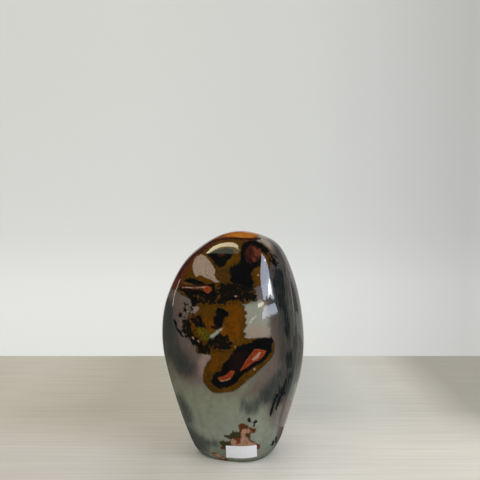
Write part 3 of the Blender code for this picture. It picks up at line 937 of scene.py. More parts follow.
# From the ground up: what is laid on, its two colours and the grain they vary with, then
# blur (mm over which its edge fades), ragged (mm that the edge wanders, with which grain),
# grow (mm that it reaches past its outline), deep (mm inside beyond which it gets no denser, so
# that the grain breaks it up), cover (how opaque) and ring (mm, only a band at the edge)
jasperLayers = [
    {"mark": "mauve", "colours": ("#70605A", "#5E5049"), "vary": "smoke",
     "blur": 4, "ragged": (2, "smoke"), "cover": 0.75},
    # pink blush in the stone, and by the crown's right a painted reflection of the wall
    {"mark": "blushAndPaintedReflection", "colours": ("#8A7168", "#7A655C"), "vary": "medium",
     "blur": 2, "ragged": (1, "medium"), "cover": 0.8},
    {"mark": "haze", "colours": ("#5C544E", "#6E665F"), "vary": "medium",
     "blur": 1.5, "ragged": (1, "medium"), "cover": 0.85},
    # pale patches in the stone, and by the crown's right a painted reflection of the wall
    {"mark": "paleAndPaintedReflection", "colours": ("#A39987", "#93998A"), "vary": "broad",
     "blur": 2.0, "ragged": (1.0, "medium"), "cover": 0.85},
    # pink blush in the stone, and by the crown's right a painted reflection of the wall
    {"mark": "blushAndPaintedReflection", "colours": ("#9C857A", "#8F7B70"), "vary": "fine",
     "blur": 2.5, "ragged": (1, "fine"), "cover": 0.55},
    # the sides' darker grey: partly slate, partly painted shade
    {"mark": "shade", "colours": ("#33322F", "#45413E"), "vary": "thread",
     "blur": 3.5, "ragged": (2, "smoke"), "cover": 0.87},
    {"mark": "rind", "colours": ("#6A5650", "#54453F"), "vary": "thread",
     "blur": 1.5, "ragged": (0.8, "thread"), "cover": 0.85},
    {"mark": "slate", "colours": ("#3A3F3D", "#464944"), "vary": "smoke",
     "blur": 3.5, "ragged": (2.4, "smoke"), "grow": 1.2, "cover": 0.68},
    {"mark": "slate", "colours": ("#212527", "#323635"), "vary": "thread",
     "blur": 2.6, "ragged": (2.0, "smoke"), "cover": 0.34},
    {"mark": "core", "colours": ("#101314", "#232726"), "vary": "thread",
     "blur": 1.6, "ragged": (2.4, "thread"), "grow": 0.3, "cover": 0.9},
    # the right side's lines: partly streaks in the stone, partly a painted reflection of the wall
    {"mark": "streakAndPaintedReflection", "colours": ("#7A7771", "#55534F"), "vary": "thread",
     "blur": 0.6, "ragged": (0.7, "thread"), "cover": 0.4},
    {"mark": "ochre", "colours": ("#573803", "#472D04"), "vary": "medium",
     "blur": 0.25, "ragged": (0.6, "flecks")},
    {"mark": "amber", "colours": ("#6E3D00", "#5E3500"), "vary": "medium",
     "blur": 3, "ragged": (1.2, "medium"), "cover": 0.9},
    {"mark": "umber", "colours": ("#3A2508", "#4C330C"), "vary": "fine",
     "blur": 1.2, "ragged": (1.0, "fine"), "cover": 0.9},
    {"mark": "ochre", "colours": ("#241B0A", "#34250C"), "vary": "fine",
     "blur": 0.4, "ragged": (0.4, "fine"), "ring": 0.35, "cover": 0.55},
    {"mark": "island", "colours": ("#A38D7A", "#937E6E"), "vary": "fine",
     "blur": 0.25, "ragged": (0.4, "flecks")},
    {"mark": "island", "colours": ("#6A5748", "#5A4A3E"), "vary": "grit",
     "blur": 0.4, "ragged": (1.6, "grit"), "deep": 0.1, "grow": -1.4, "cover": 0.6},
    {"mark": "ringMark", "colours": ("#3A3028", "#4A3E34"), "vary": "grit",
     "blur": 0.25, "ragged": (0.2, "grit"), "cover": 0.75},
    {"mark": "rust", "colours": ("#5E2A12", "#46200C"), "vary": "fine",
     "blur": 1.0, "ragged": (0.8, "fine"), "cover": 0.9},
    {"mark": "moss", "colours": ("#12110A", "#2E220C"), "vary": "flecks",
     "blur": 0.9, "ragged": (1.8, "blots"), "cover": 0.6},
    {"mark": "moss", "colours": ("#080908", "#0D0D09"), "vary": "grit",
     "blur": 0.4, "ragged": (2.4, "blots"), "deep": 1.1, "grow": 0.3, "cover": 0.94},
    {"mark": "black", "colours": ("#0D0D09", "#1A160B"), "vary": "fine",
     "blur": 0.3, "ragged": (0.8, "blots"), "grow": 0.4, "cover": 0.9},
    {"mark": "black", "colours": ("#070707", "#0C0B0A"), "vary": "medium",
     "blur": 0.3, "ragged": (0.4, "fine")},
    {"mark": "olive", "colours": ("#665A08", "#3A380E"), "vary": "fine",
     "blur": 0.8, "ragged": (0.9, "fine"), "cover": 0.9},
    {"mark": "maroon", "colours": ("#462014", "#26120C"), "vary": "medium",
     "blur": 0.8, "ragged": (0.6, "fine"), "cover": 0.92},
    {"mark": "ballSpot", "colours": ("#7A3E28", "#4A2014"), "vary": "fine",
     "blur": 1.0, "ragged": (0.8, "fine"), "cover": 0.85},
    {"mark": "emberShade", "colours": ("#23130D", "#160E0B"), "vary": "fine",
     "blur": 2.0, "ragged": (1.0, "fine"), "cover": 0.75},
    {"mark": "tan", "colours": ("#6A4410", "#4E3410"), "vary": "grit",
     "blur": 0.3, "ragged": (0.4, "grit")},
    {"mark": "ember", "colours": ("#9A4022", "#6A2209"), "vary": "grit",
     "blur": 0.25, "ragged": (0.4, "grit")},
    {"mark": "ember", "colours": ("#A85A30", "#8A3A18"), "vary": "grit",
     "blur": 0.25, "ragged": (0.3, "grit"), "ring": 0.2, "grow": -0.35, "cover": 0.5},
    {"mark": "cream", "colours": ("#B09078", "#96745C"), "vary": "grit",
     "blur": 0.25, "ragged": (0.3, "grit")},
    {"mark": "cap", "colours": ("#B66E22", "#9E5C1C"), "vary": "medium",
     "blur": 0.3, "ragged": (0.4, "fine")},
    {"mark": "capBrown", "colours": ("#6E3416", "#4E2412"), "vary": "fine",
     "blur": 1.6, "ragged": (1.0, "fine"), "cover": 0.9},
    {"mark": "purple", "colours": ("#2C0F12", "#3A1714"), "vary": "fine",
     "blur": 0.4, "ragged": (0.4, "fine"), "cover": 0.95},
    {"mark": "figBrown", "colours": ("#6A4020", "#46260F"), "vary": "grit",
     "blur": 0.3, "ragged": (0.7, "fine")},
    {"mark": "leaf", "colours": ("#46422A", "#2A2C18"), "vary": "grit",
     "blur": 0.35, "ragged": (0.9, "fine")},
    {"mark": "figRed", "colours": ("#7A3E2E", "#5E2C1A"), "vary": "grit",
     "blur": 0.35, "ragged": (0.4, "grit")},
    {"mark": "figPink", "colours": ("#B08A70", "#8E6652"), "vary": "fine",
     "blur": 0.4, "ragged": (0.6, "fine"), "grow": 0.2},
]


def polishedJasper():
    # the ground, each layer laid on it by its distance, then the polish
    material, tree, shader, place = newMaterial("polishedJasper")
    spot = place.outputs["Object"]
    grains = {}
    for name, (size, detail, stretch, swirl) in jasperGrains.items():
        squeezed = addNode(tree, "ShaderNodeMapping", {"Vector": spot, "Scale": (1, 1, 1 / stretch)})
        noise = addNode(tree, "ShaderNodeTexNoise", {
            "Vector": squeezed.outputs[0],
            "Scale": 1 / (size * mm),
            "Detail": detail,
            "Roughness": jasperPolish["grainRoughness"],
            "Distortion": swirl,
        })
        grains[name] = addNode(tree, "ShaderNodeMapRange", {
            "Value": noise.outputs["Fac"],
            "From Min": jasperPolish["grainRange"][0],
            "From Max": jasperPolish["grainRange"][1],
            "To Min": -1.0,
        }, clamp=False).outputs[0]

    # the ground turns from sage grey at the foot to mauve grey at the shoulders
    height = addNode(tree, "ShaderNodeSeparateXYZ", {"Vector": spot}).outputs["Z"]
    lifted = addNode(tree, "ShaderNodeMath", {0: grains["broad"], 1: jasperPolish["heightWander"]},
                     operation="MULTIPLY")
    share = addNode(tree, "ShaderNodeMath", {0: height, 1: 1 / stoneSize[2], 2: lifted.outputs[0]},
                    operation="MULTIPLY_ADD")
    ramp = addNode(tree, "ShaderNodeValToRGB", {"Fac": share.outputs[0]})
    stops = ramp.color_ramp.elements
    for index, (position, hexCode) in enumerate(jasperPolish["groundByHeight"]):
        stop = stops[index] if index < 2 else stops.new(position)
        stop.position = position
        stop.color = linearColour(hexCode)
    tinted = addNode(tree, "ShaderNodeMath", {0: grains["smoke"], 1: jasperPolish["tintShare"]},
                     operation="MULTIPLY", use_clamp=True)
    ground = addNode(tree, "ShaderNodeMix", {
        0: tinted.outputs[0],
        6: ramp.outputs["Color"],
        7: linearColour(jasperPolish["groundTint"]),
    }, data_type="RGBA")
    drift = addNode(tree, "ShaderNodeMath", {0: grains["medium"], 1: grains["broad"]}, operation="ADD")
    bright = addNode(tree, "ShaderNodeMath", {0: drift.outputs[0], 1: jasperPolish["cloudiness"] / 2, 2: 1.0},
                     operation="MULTIPLY_ADD")
    colour = addNode(tree, "ShaderNodeHueSaturation", {
        "Value": bright.outputs[0],
        "Color": ground.outputs[2],
    }).outputs[0]

    for layer in jasperLayers:
        wander, grain = layer["ragged"]
        grow = layer.get("grow", 0)
        reach = layer.get("ring", grow)
        distance = addNode(tree, "ShaderNodeAttribute", attribute_name=layer["mark"]).outputs["Fac"]
        if "ring" in layer:
            past = addNode(tree, "ShaderNodeMath", {0: distance, 1: grow}, operation="SUBTRACT")
            distance = addNode(tree, "ShaderNodeMath", {0: past.outputs[0]}, operation="ABSOLUTE").outputs[0]
        if "deep" in layer:
            level = addNode(tree, "ShaderNodeMath", {0: distance, 1: -layer["deep"]}, operation="MAXIMUM")
            distance = level.outputs[0]
        shifted = addNode(tree, "ShaderNodeMath", {0: grains[grain], 1: wander, 2: -reach},
                          operation="MULTIPLY_ADD")
        edge = addNode(tree, "ShaderNodeMath", {0: distance, 1: shifted.outputs[0]}, operation="ADD")
        mask = addNode(tree, "ShaderNodeMapRange", {
            "Value": edge.outputs[0],
            "From Min": -layer["blur"],
            "From Max": layer["blur"],
            "To Min": layer.get("cover", 1.0),
            "To Max": 0.0,
        }, interpolation_type="SMOOTHSTEP")
        spread = addNode(tree, "ShaderNodeMapRange", {
            "Value": grains[layer["vary"]],
            "From Min": -jasperPolish["colourRange"],
            "From Max": jasperPolish["colourRange"],
        })
        body = addNode(tree, "ShaderNodeMix", {
            0: spread.outputs[0],
            6: linearColour(layer["colours"][0]),
            7: linearColour(layer["colours"][1]),
        }, data_type="RGBA")
        colour = addNode(tree, "ShaderNodeMix", {0: mask.outputs[0], 6: colour, 7: body.outputs[2]},
                         data_type="RGBA").outputs[2]

    pepper = addNode(tree, "ShaderNodeMath", {0: grains["grit"], 1: jasperPolish["speckle"], 2: 1.0},
                     operation="MULTIPLY_ADD")
    colour = addNode(tree, "ShaderNodeHueSaturation", {
        "Value": pepper.outputs[0],
        "Color": colour,
    }).outputs[0]

    # mirror polish, a little duller where the grain is coarse, and ground matt on the sawn foot
    polish = addNode(tree, "ShaderNodeMapRange", {
        "Value": grains["medium"],
        "From Min": -1.0,
        "To Min": jasperPolish["roughness"][0],
        "To Max": jasperPolish["roughness"][1],
    })
    foot = addNode(tree, "ShaderNodeMath", {0: height, 1: jasperPolish["footHeight"]}, operation="LESS_THAN")
    dull = addNode(tree, "ShaderNodeMix", {
        0: foot.outputs[0],
        2: polish.outputs[0],
        3: jasperPolish["footRoughness"],
    })
    lapMarks = addNode(tree, "ShaderNodeBump", {
        "Height": grains["fine"],
        "Strength": jasperPolish["lapStrength"],
        "Distance": jasperPolish["lapMarks"],
    })
    tree.links.new(lapMarks.outputs[0], shader.inputs["Normal"])
    tree.links.new(colour, shader.inputs["Base Color"])
    tree.links.new(dull.outputs[0], shader.inputs["Roughness"])
    shader.inputs["IOR"].default_value = jasperPolish["ior"]
    return material


finestStone = stoneMesh()
refinePocket(finestStone)
lapStone(finestStone)
drawMarkings(finestStone)
addPiece("polished_stone", finestStone, polishedJasper(), ["stone"])
print("stone shaped and marked:", len(finestStone.vertices), "vertices")


# Quartz points line the pocket, grown on its wall by a geometry tree
quartz = {
    "within": 0.9,  # share of the pocket's radius that it covers
    "perSquareMetre": 9e6,
    "width": 0.34 * mm,
    "shaft": 0.28 * mm,
    "tip": 0.26 * mm,
    "sizes": (0.5, 1.35),  # the smallest and the largest, as shares of these
    "lean": 0.5,  # radians
    "seed": 11,
    "sides": 6,
    "tones": ("#C2BFB5", "#3A3833"),
    "roughness": (0.05, 0.3),
    "growthMarks": 0.01 * mm,
    "ior": 1.544,
}


def pocketWall(mesh):
    # the part of the stone's surface that lies in the pocket
    wall = bmesh.new()
    wall.from_mesh(mesh)
    middle = (pocket["x"], pocket["z"])
    reach = pocket["radius"] * quartz["within"]
    far = [face for face in wall.faces if face.calc_center_median().y > 0
           or math.dist(face.calc_center_median().xz, middle) > reach]
    bmesh.ops.delete(wall, geom=far, context="FACES")
    patch = bpy.data.meshes.new("pocketWall")
    wall.to_mesh(patch)
    wall.free()
    return patch


def quartzTree():
    # six-sided points, each a shaft and a tip, spread over a surface and leaning a little
    tree = bpy.data.node_groups.new("quartzPoints", "GeometryNodeTree")
    sockets = {
        name: tree.interface.new_socket(name, in_out="INPUT", socket_type=kind).identifier
        for name, kind in (
            ("Wall", "NodeSocketGeometry"), ("Density", "NodeSocketFloat"), ("Seed", "NodeSocketInt"),
            ("Width", "NodeSocketFloat"), ("Shaft", "NodeSocketFloat"), ("Tip", "NodeSocketFloat"),
            ("Smallest", "NodeSocketFloat"), ("Largest", "NodeSocketFloat"), ("Lean", "NodeSocketFloat"),
            ("Material", "NodeSocketMaterial"),
        )
    }
    tree.interface.new_socket("Crystals", in_out="OUTPUT", socket_type="NodeSocketGeometry")
    given = addNode(tree, "NodeGroupInput").outputs
    spread = addNode(tree, "GeometryNodeDistributePointsOnFaces", {
        "Mesh": given["Wall"],
        "Density": given["Density"],
        "Seed": given["Seed"],
    })
    radius = addNode(tree, "ShaderNodeMath", {0: given["Width"], 1: 0.5}, operation="MULTIPLY").outputs[0]
    shaft = addNode(tree, "GeometryNodeMeshCone", {
        "Vertices": quartz["sides"],
        "Radius Top": radius,
        "Radius Bottom": radius,
        "Depth": given["Shaft"],
    })
    tip = addNode(tree, "GeometryNodeMeshCone", {
        "Vertices": quartz["sides"],
        "Radius Top": 0.0,
        "Radius Bottom": radius,
        "Depth": given["Tip"],
    })
    lift = addNode(tree, "ShaderNodeCombineXYZ", {"Z": given["Shaft"]})
    raised = addNode(tree, "GeometryNodeTransform", {
        "Geometry": tip.outputs["Mesh"],
        "Translation": lift.outputs[0],
    })
    crystal = addNode(tree, "GeometryNodeJoinGeometry", {"Geometry": shaft.outputs["Mesh"]})
    tree.links.new(raised.outputs["Geometry"], crystal.inputs["Geometry"])
    back = addNode(tree, "ShaderNodeMath", {0: given["Lean"], 1: -1.0}, operation="MULTIPLY").outputs[0]
    tilt = addNode(tree, "FunctionNodeRandomValue", {
        0: back,
        1: given["Lean"],
        "Seed": given["Seed"],
    }, data_type="FLOAT_VECTOR")
    lean = addNode(tree, "FunctionNodeEulerToRotation", {"Euler": tilt.outputs[0]})
    turned = addNode(tree, "FunctionNodeRotateRotation", {
        "Rotation": spread.outputs["Rotation"],
        "Rotate By": lean.outputs[0],
    }, rotation_space="LOCAL")
    size = addNode(tree, "FunctionNodeRandomValue", {
        2: given["Smallest"],
        3: given["Largest"],
        "Seed": given["Seed"],
    }, data_type="FLOAT")
    grown = addNode(tree, "GeometryNodeInstanceOnPoints", {
        "Points": spread.outputs["Points"],
        "Instance": crystal.outputs[0],
        "Rotation": turned.outputs[0],
        "Scale": size.outputs[1],
    })
    solid = addNode(tree, "GeometryNodeRealizeInstances", {"Geometry": grown.outputs["Instances"]})
    finished = addNode(tree, "GeometryNodeSetMaterial", {
        "Geometry": solid.outputs[0],
        "Material": given["Material"],
    })
    addNode(tree, "NodeGroupOutput", {"Crystals": finished.outputs[0]})
    return tree, sockets


def drusyQuartz():
    # drusy quartz: clear to milky points with bright growth faces, grown in the open pocket
    material, tree, shader, place = newMaterial("drusyQuartz")
    cloud = addNode(tree, "ShaderNodeTexNoise", {
        "Vector": place.outputs["Object"],
        "Scale": 1 / quartz["width"],
        "Detail": 3,
    })
    tone = addNode(tree, "ShaderNodeMix", {
        0: cloud.outputs["Fac"],
        6: linearColour(quartz["tones"][0]),
        7: linearColour(quartz["tones"][1]),
    }, data_type="RGBA")
    rough = addNode(tree, "ShaderNodeMapRange", {
        "Value": cloud.outputs["Fac"],
        "To Min": quartz["roughness"][0],
        "To Max": quartz["roughness"][1],
    })
    bump = addNode(tree, "ShaderNodeBump", {
        "Height": cloud.outputs["Fac"],
        "Strength": 0.2,
        "Distance": quartz["growthMarks"],
    })
    tree.links.new(tone.outputs[2], shader.inputs["Base Color"])
    tree.links.new(rough.outputs[0], shader.inputs["Roughness"])
    tree.links.new(bump.outputs[0], shader.inputs["Normal"])
    shader.inputs["IOR"].default_value = quartz["ior"]
    return material


wall = bpy.data.objects.new("pocketWall", pocketWall(finestStone))
bpy.context.scene.collection.objects.link(wall)
quartzPoints, quartzSockets = quartzTree()
growth = wall.modifiers.new("growth", "NODES")
growth.node_group = quartzPoints
for name, value in (
    ("Density", quartz["perSquareMetre"]), ("Seed", quartz["seed"]), ("Width", quartz["width"]),
    ("Shaft", quartz["shaft"]), ("Tip", quartz["tip"]), ("Smallest", quartz["sizes"][0]),
    ("Largest", quartz["sizes"][1]), ("Lean", quartz["lean"]), ("Material", drusyQuartz()),
):
    growth[quartzSockets[name]] = value
grown = wall.evaluated_get(bpy.context.evaluated_depsgraph_get())
crystals = bpy.data.meshes.new_from_object(grown)
wall.modifiers.remove(growth)
bpy.data.objects.remove(wall)
addPiece("quartz_points", crystals, None)
print("pocket lined with quartz:", len(crystals.polygons), "faces")


# A plain paper label, stuck low on the front
label = {
    "cornerRadius": 0.45 * mm,
    "columns": 64,
    "rows": 28,
    "gap": 0.05 * mm,
    "thickness": 0.13 * mm,
    "tilt": math.radians(2.0),
    "width": 19.4 * mm,
    "height": 8.2 * mm,
    "paper": ("#F2F2F6", "#E8E8ED"),
    "fibre": 0.35 * mm,
    "fibreHeight": 0.02 * mm,
    "roughness": (0.68, 0.85),
    "ior": 1.47,
    "sharpAngle": math.radians(40),  # above this the sheet's edges stay sharp
}


def frontAt(x, z):
    # how far forward the stone's front stands at a place on it
    ring = ringAt(z / stoneSize[2], np.linspace(0, 1, stoneForm["curveSamples"], endpoint=False))
    front = ring[ring[:, 1] < ring[:, 1].mean()]
    front = front[front[:, 0].argsort()]
    return np.interp(x, front[:, 0], front[:, 1])


def labelMesh():
    # two sheets that follow the stone's front, joined round their rims
    low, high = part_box("paper_label")
    middle = (low + high) / 2
    halfWidth, halfHeight, radius = label["width"] / 2, label["height"] / 2, label["cornerRadius"]
    shape = bmesh.new()
    sheets = []
    for distance in (label["gap"], label["gap"] + label["thickness"]):
        sheet = []
        for row in range(label["rows"] + 1):
            line = []
            for column in range(label["columns"] + 1):
                along = (column / label["columns"] * 2 - 1) * halfWidth
                up = (row / label["rows"] * 2 - 1) * halfHeight
                outX, outZ = abs(along) - halfWidth + radius, abs(up) - halfHeight + radius
                if outX > 0 and outZ > 0:  # the corners are rounded off
                    pull = max(outX, outZ) / math.hypot(outX, outZ)
                    along = math.copysign(halfWidth - radius + outX * pull, along)
                    up = math.copysign(halfHeight - radius + outZ * pull, up)
                x = middle.x + along * math.cos(label["tilt"]) - up * math.sin(label["tilt"])
                z = middle.z + along * math.sin(label["tilt"]) + up * math.cos(label["tilt"])
                line.append(shape.verts.new((x, frontAt(x, z) - distance, z)))
            sheet.append(line)
        sheets.append(sheet)
    for sheet in sheets:
        for lower, upper in zip(sheet, sheet[1:]):
            for k in range(label["columns"]):
                shape.faces.new((lower[k], lower[k + 1], upper[k + 1], upper[k]))
    rims = [
        sheet[0] + [line[-1] for line in sheet[1:]] + sheet[-1][-2::-1] + [line[0] for line in sheet[-2:0:-1]]
        for sheet in sheets
    ]
    for k in range(len(rims[0])):
        n = (k + 1) % len(rims[0])
        shape.faces.new((rims[0][k], rims[0][n], rims[1][n], rims[1][k]))
    bmesh.ops.recalc_face_normals(shape, faces=shape.faces)
    mesh = bpy.data.meshes.new("label")
    shape.to_mesh(mesh)
    shape.free()
    mesh.shade_smooth()
    mesh.set_sharp_from_angle(angle=label["sharpAngle"])
    return mesh


def uncoatedPaper():
    # uncoated label stock: matt and faintly uneven, with short fibres that catch the light
    material, tree, shader, place = newMaterial("uncoatedPaper")
    fibres = addNode(tree, "ShaderNodeTexNoise", {
        "Vector": place.outputs["Object"],
        "Scale": 1 / label["fibre"],
        "Detail": 4,
    })
    tone = addNode(tree, "ShaderNodeMix", {
        0: fibres.outputs["Fac"],
        6: linearColour(label["paper"][0]),
        7: linearColour(label["paper"][1]),
    }, data_type="RGBA")
    bump = addNode(tree, "ShaderNodeBump", {
        "Height": fibres.outputs["Fac"],
        "Strength": 0.25,
        "Distance": label["fibreHeight"],
    })
    rough = addNode(tree, "ShaderNodeMapRange", {
        "Value": fibres.outputs["Fac"],
        "To Min": label["roughness"][0],
        "To Max": label["roughness"][1],
    })
    tree.links.new(tone.outputs[2], shader.inputs["Base Color"])
    tree.links.new(rough.outputs[0], shader.inputs["Roughness"])
    tree.links.new(bump.outputs[0], shader.inputs["Normal"])
    shader.inputs["IOR"].default_value = label["ior"]
    return material


addPiece("plain_label", labelMesh(), uncoatedPaper(), ["paper_label"])
print("label laid on the front")


# The studio: a pale table, a white wall well behind it, a dim room in front, and lights as cards
studio = {
    # tones with their places in metres, from left to right or, for the last, from low to high
    # the front: brighter right of the stone, painted light where the stone's shade falls
    "tableFrontAndPaintedLight": [(-0.09, "#D8D2C8"), (-0.05, "#CFCABF"), (0.05, "#F0EBE1"), (0.12, "#ECE6DB")],
    # the back: darker left of the stone and cool grey right of it, painted shadows; darker far to the right
    "tableBackAndPaintedShadows": [
        (-0.19, "#D0C9BB"), (-0.14, "#C6BEAF"), (-0.10, "#BAB4A2"), (-0.05, "#BEB8A6"),
        (0.07, "#CACAC6"), (0.11, "#D8D6CE"), (0.15, "#D4CFC4"), (0.19, "#B0ABA0"),
    ],
    # darker towards the right: a painted shadow, lifted again farther right where the polish mirrors the wall
    "wallAcrossAndPaintedShadow": [
        (-0.2, "#F2F2EF"), (0.15, "#EBECE9"), (0.27, "#E4E4E2"), (0.46, "#D2D2CF"), (0.70, "#E4E3DE"),
    ],
    # lighter low down by the table: painted light where the table shades the wall
    "wallUpAndPaintedLight": [
        (-0.06, "#FFFFFF"), (0.0, "#FCFCFC"), (0.05, "#F6F6F6"), (0.10, "#F1F1F1"), (0.17, "#EFEFEF"),
    ],
    "tableFades": 0.09,  # metres from the stone's middle over which the front's tones turn into the back's
    "tableGrain": (90 * mm, 2.5 * mm),  # length and width of its streaks
    "tableStreaks": 0.08,
    "tableRoughness": 0.5,
    "streakRange": (0.3, 0.7),
    "wallAt": 0.95,
    "wallRoughness": 0.9,
    "seenWorld": ("#DCDCD6", 1.0),  # past the wall, as the camera sees it
    "mirroredWorld": ("#C8CCD2", 0.08),  # the dim room in the polish
    "fillWorld": ("#EBEBEA", 1.03),  # the light that comes from all round
    "cardFill": 0.4,  # how much the cards light the matt side of things, against what is mirrored
    "lightDistance": 1.2,
    "lightAim": (0, 0, 90 * mm),
}

# The table as (x, y) and the wall as (x, z) outlines in metres. The polish shows only the mirrored
# ones, behind the stone and to its right: the rest of the room is dim in it.
tableOutlines = {
    "mirrored": [[(-0.03, 0.03), (0.05, 0.03), (0.062, 0.006), (0.59, 0.281), (-0.03, 0.281)]],
    "unmirrored": [
        [(-1.6, -1.6), (-0.03, -1.6), (-0.03, 0.03), (-0.03, 0.281), (-1.6, 0.281)],
        [
            (-0.03, -1.6), (1.6, -1.6), (1.6, 0.281), (0.59, 0.281), (0.062, 0.006), (0.05, 0.03),
            (-0.03, 0.03),
        ],
    ],
}
wallOutlines = {
    "mirrored": [[
        (-0.51, -0.3), (1.8, -0.3), (1.8, -0.02), (1.25, -0.02),
        (1.25, 0.9), (0.05, 0.9), (0.05, 0.62), (-0.51, 0.62),
    ]],
    "unmirrored": [
        [(-2.4, -1.2), (1.8, -1.2), (1.8, -0.3), (-0.51, -0.3), (-0.51, 2.4), (-2.4, 2.4)],
        [(-0.51, 0.62), (0.05, 0.62), (0.05, 0.9), (1.25, 0.9), (1.25, 2.4), (-0.51, 2.4)],
        [(1.25, -0.02), (1.8, -0.02), (1.8, -0.3), (1.8, -1.2), (2.4, -1.2), (2.4, 2.4), (1.25, 2.4)],
    ],
}

# Each light is a card that the polish mirrors. Its corners are directions from the stone in degrees:
# the turn from the camera's side towards the right, and the rise above level.
lightCards = {
    "tall_window": {
        "corners": [
            (62, 50), (66, 41), (68, 31), (69, 24), (70, 18), (73, 12), (75, 7), (77, 4.5), (70, 5.5),
            (66, 9), (63, 6.5), (59, 9), (56, 6.5), (52, 8), (50, 13), (48, 19), (48, 26), (51, 34), (56, 42),
        ],
        "tone": "#C6D8F4",
        "strength": 9,
    },
    "window_gap": {
        "corners": [
            (63, 40), (65.5, 38), (68, 20), (71, 12), (72, 7), (68, 9), (64, 7.5), (64, 16), (65, 24),
        ],
        "tone": "#FFFFFA",
        "strength": 21,
        "nearer": 0.02,  # in front of the window that it lies in
    },
    "low_window": {
        "corners": [(53, 4), (65, 3.5), (77, 3), (80, 1), (83, -1), (70, -1), (57, -1), (47, -2), (48, 1)],
        "tone": "#D0DEF2",
        "strength": 8,
    },
    "ceiling_light": {
        "corners": [
            (-107, 54), (-115, 56), (-121, 58), (-118, 64), (-113, 70), (-104, 76), (-82, 81),
            (-45, 82), (-14, 78), (-7, 71), (-17, 74.5), (-36, 76), (-60, 75), (-81, 72), (-92, 68),
            (-96, 64), (-98, 57),
        ],
        "tone": "#FFF3C8",
        "strength": 9,
    },
    "ceiling_glow": {
        "corners": [
            (-98, 57), (-96, 64), (-92, 68), (-81, 72), (-60, 75), (-36, 76), (-17, 74.5), (-7, 71), (-6, 75),
            (0, 70), (-3, 64), (-11, 65), (-20, 65), (-35, 66), (-54, 65), (-77, 63), (-95, 58),
        ],
        "tone": "#CDD2B6",
        "strength": 1.7,
    },
    "left_gap": {
        "corners": [(-115.5, 20), (-110.5, 14), (-99.5, 6), (-98.7, 6.6), (-109.4, 14.8), (-114, 20.5)],
        "tone": "#F2F0E2",
        "strength": 8,
    },
    "right_gap": {
        "corners": [(121, 12), (123, 12), (114, -6), (112.5, -6)],
        "tone": "#F2F2F0",
        "strength": 1.2,
    },
    "low_glow": {
        "corners": [
            (-20, -10.2), (-16.5, -8.5), (-11, -6.2), (-8, -5), (-10, -6.6), (-13, -8.5), (-17, -10.6),
        ],
        "tone": "#DCEBD2",
        "strength": 7,
    },
    "thin_glow": {
        "corners": [(19.5, -3.2), (27, -1.2), (35, 0), (35, 0.6), (27, -0.4), (20, -2.4)],
        "tone": "#F2F0E2",
        "strength": 6,
    },
    "side_glow": {
        "corners": [(37, 4.6), (39, 7), (52, 6.8), (52, 5.6), (46, 4.4)],
        "tone": "#FFF6DA",
        "strength": 9,
    },
}


def flatSheet(name, outlines, material):
    # flat outlines in one sheet that isn't part of the object
    mesh = bpy.data.meshes.new(name)
    corners = [corner for outline in outlines for corner in outline]
    starts = np.cumsum([0] + [len(outline) for outline in outlines]).tolist()
    mesh.from_pydata(corners, [], [tuple(range(a, b)) for a, b in zip(starts, starts[1:])])
    mesh.materials.append(material)
    sheet = bpy.data.objects.new(name, mesh)
    bpy.context.scene.collection.objects.link(sheet)
    return sheet


def slowTones(tree, place, axis, stops):
    # a colour that changes slowly along one axis, from (metres, tone) to (metres, tone)
    along = addNode(tree, "ShaderNodeSeparateXYZ", {"Vector": place.outputs["Object"]}).outputs[axis]
    tone = linearColour(stops[0][1])
    for (start, _), (end, hexCode) in zip(stops, stops[1:]):
        share = addNode(tree, "ShaderNodeMapRange", {"Value": along, "From Min": start, "From Max": end})
        tone = addNode(tree, "ShaderNodeMix", {
            0: share.outputs[0],
            6: tone,
            7: linearColour(hexCode),
        }, data_type="RGBA").outputs[2]
    return tone


def paleTableTop():
    # matt pale laminate with a faint grain that runs across the view; its tones hold painted light and
    # painted shadows round the stone
    material, tree, shader, place = newMaterial("paleTableTop")
    along, across = studio["tableGrain"]
    stretched = addNode(tree, "ShaderNodeMapping", {
        "Vector": place.outputs["Object"],
        "Scale": (1 / along, 1 / across, 1),
    })
    grain = addNode(tree, "ShaderNodeTexNoise", {"Vector": stretched.outputs[0], "Scale": 1.0, "Detail": 5})
    streaks = addNode(tree, "ShaderNodeMapRange", {
        "Value": grain.outputs["Fac"],
        "From Min": studio["streakRange"][0],
        "From Max": studio["streakRange"][1],
        "To Min": 1 - studio["tableStreaks"],
        "To Max": 1 + studio["tableStreaks"],
    }, clamp=False)
    # the front's and back's tones, with their painted light and painted shadows
    front, back = [slowTones(tree, place, "X", studio[name]) for name in ("tableFrontAndPaintedLight", "tableBackAndPaintedShadows")]
    y = addNode(tree, "ShaderNodeSeparateXYZ", {"Vector": place.outputs["Object"]}).outputs["Y"]
    share = addNode(tree, "ShaderNodeMapRange", {"Value": y, "From Max": studio["tableFades"]})
    laid = addNode(tree, "ShaderNodeMix", {0: share.outputs[0], 6: front, 7: back}, data_type="RGBA")
    tone = addNode(tree, "ShaderNodeHueSaturation", {"Value": streaks.outputs[0], "Color": laid.outputs[2]})
    tree.links.new(tone.outputs[0], shader.inputs["Base Color"])
    shader.inputs["Roughness"].default_value = studio["tableRoughness"]
    return material


def whiteWall():
    # matt white paint, out of focus in the distance, with a painted shadow towards the right and painted
    # light low down by the table
    material, tree, shader, place = newMaterial("whiteWall")
    # across: the painted shadow to the right; up: the painted light low down
    across = slowTones(tree, place, "X", studio["wallAcrossAndPaintedShadow"])
    up = slowTones(tree, place, "Z", studio["wallUpAndPaintedLight"])
    tone = addNode(tree, "ShaderNodeMix", {0: 1.0, 6: across, 7: up}, data_type="RGBA", blend_type="MULTIPLY")
    tree.links.new(tone.outputs[2], shader.inputs["Base Color"])
    shader.inputs["Roughness"].default_value = studio["wallRoughness"]
    return material


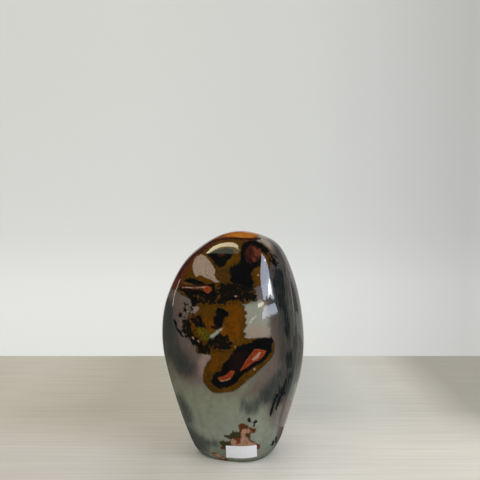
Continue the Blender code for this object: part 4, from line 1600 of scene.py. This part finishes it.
tableTop, wallPaint = paleTableTop(), whiteWall()
for part in ("mirrored", "unmirrored"):
    onTable = [[(x, y, 0) for x, y in outline] for outline in tableOutlines[part]]
    onWall = [[(x, studio["wallAt"], z) for x, z in outline] for outline in wallOutlines[part]]
    for name, outlines, material in (("table_", onTable, tableTop), ("wall_", onWall, wallPaint)):
        sheet = flatSheet(name + part, outlines, material)
        sheet.visible_glossy = part == "mirrored"


def glowing(name, tone, strength):
    # a card's even glow, full where it is mirrored and weaker where it only lights
    material, tree = newMaterial(name)[:2]
    seen = addNode(tree, "ShaderNodeMapRange", {
        "Value": addNode(tree, "ShaderNodeLightPath").outputs["Is Glossy Ray"],
        "To Min": strength * studio["cardFill"],
        "To Max": strength,
    })
    glow = addNode(tree, "ShaderNodeEmission", {"Color": linearColour(tone), "Strength": seen.outputs[0]})
    tree.links.new(glow.outputs[0], tree.nodes["Material Output"].inputs["Surface"])
    return material


for name, card in lightCards.items():
    distance = studio["lightDistance"] - card.get("nearer", 0)
    corners = []
    for turn, rise in card["corners"]:
        turn, rise = math.radians(turn), math.radians(rise)
        heading = Vector((math.sin(turn) * math.cos(rise), -math.cos(turn) * math.cos(rise), math.sin(rise)))
        corners.append(Vector(studio["lightAim"]) + heading * distance)
    sheet = flatSheet(name, [corners], glowing(name, card["tone"], card["strength"]))
    sheet.visible_camera = False

world = bpy.data.worlds.new("studioWorld")
world.use_nodes = True
bpy.context.scene.world = world
path = addNode(world.node_tree, "ShaderNodeLightPath")
backgrounds = {
    name: addNode(world.node_tree, "ShaderNodeBackground", {
        "Color": linearColour(studio[name][0]),
        "Strength": studio[name][1],
    })
    for name in ("seenWorld", "mirroredWorld", "fillWorld")
}
unseen = addNode(world.node_tree, "ShaderNodeMixShader", {
    0: path.outputs["Is Glossy Ray"],
    1: backgrounds["fillWorld"].outputs[0],
    2: backgrounds["mirroredWorld"].outputs[0],
})
shown = addNode(world.node_tree, "ShaderNodeMixShader", {
    0: path.outputs["Is Camera Ray"],
    1: unseen.outputs[0],
    2: backgrounds["seenWorld"].outputs[0],
})
world.node_tree.links.new(shown.outputs[0], world.node_tree.nodes["World Output"].inputs["Surface"])
print("studio lit by", len(lightCards), "cards")
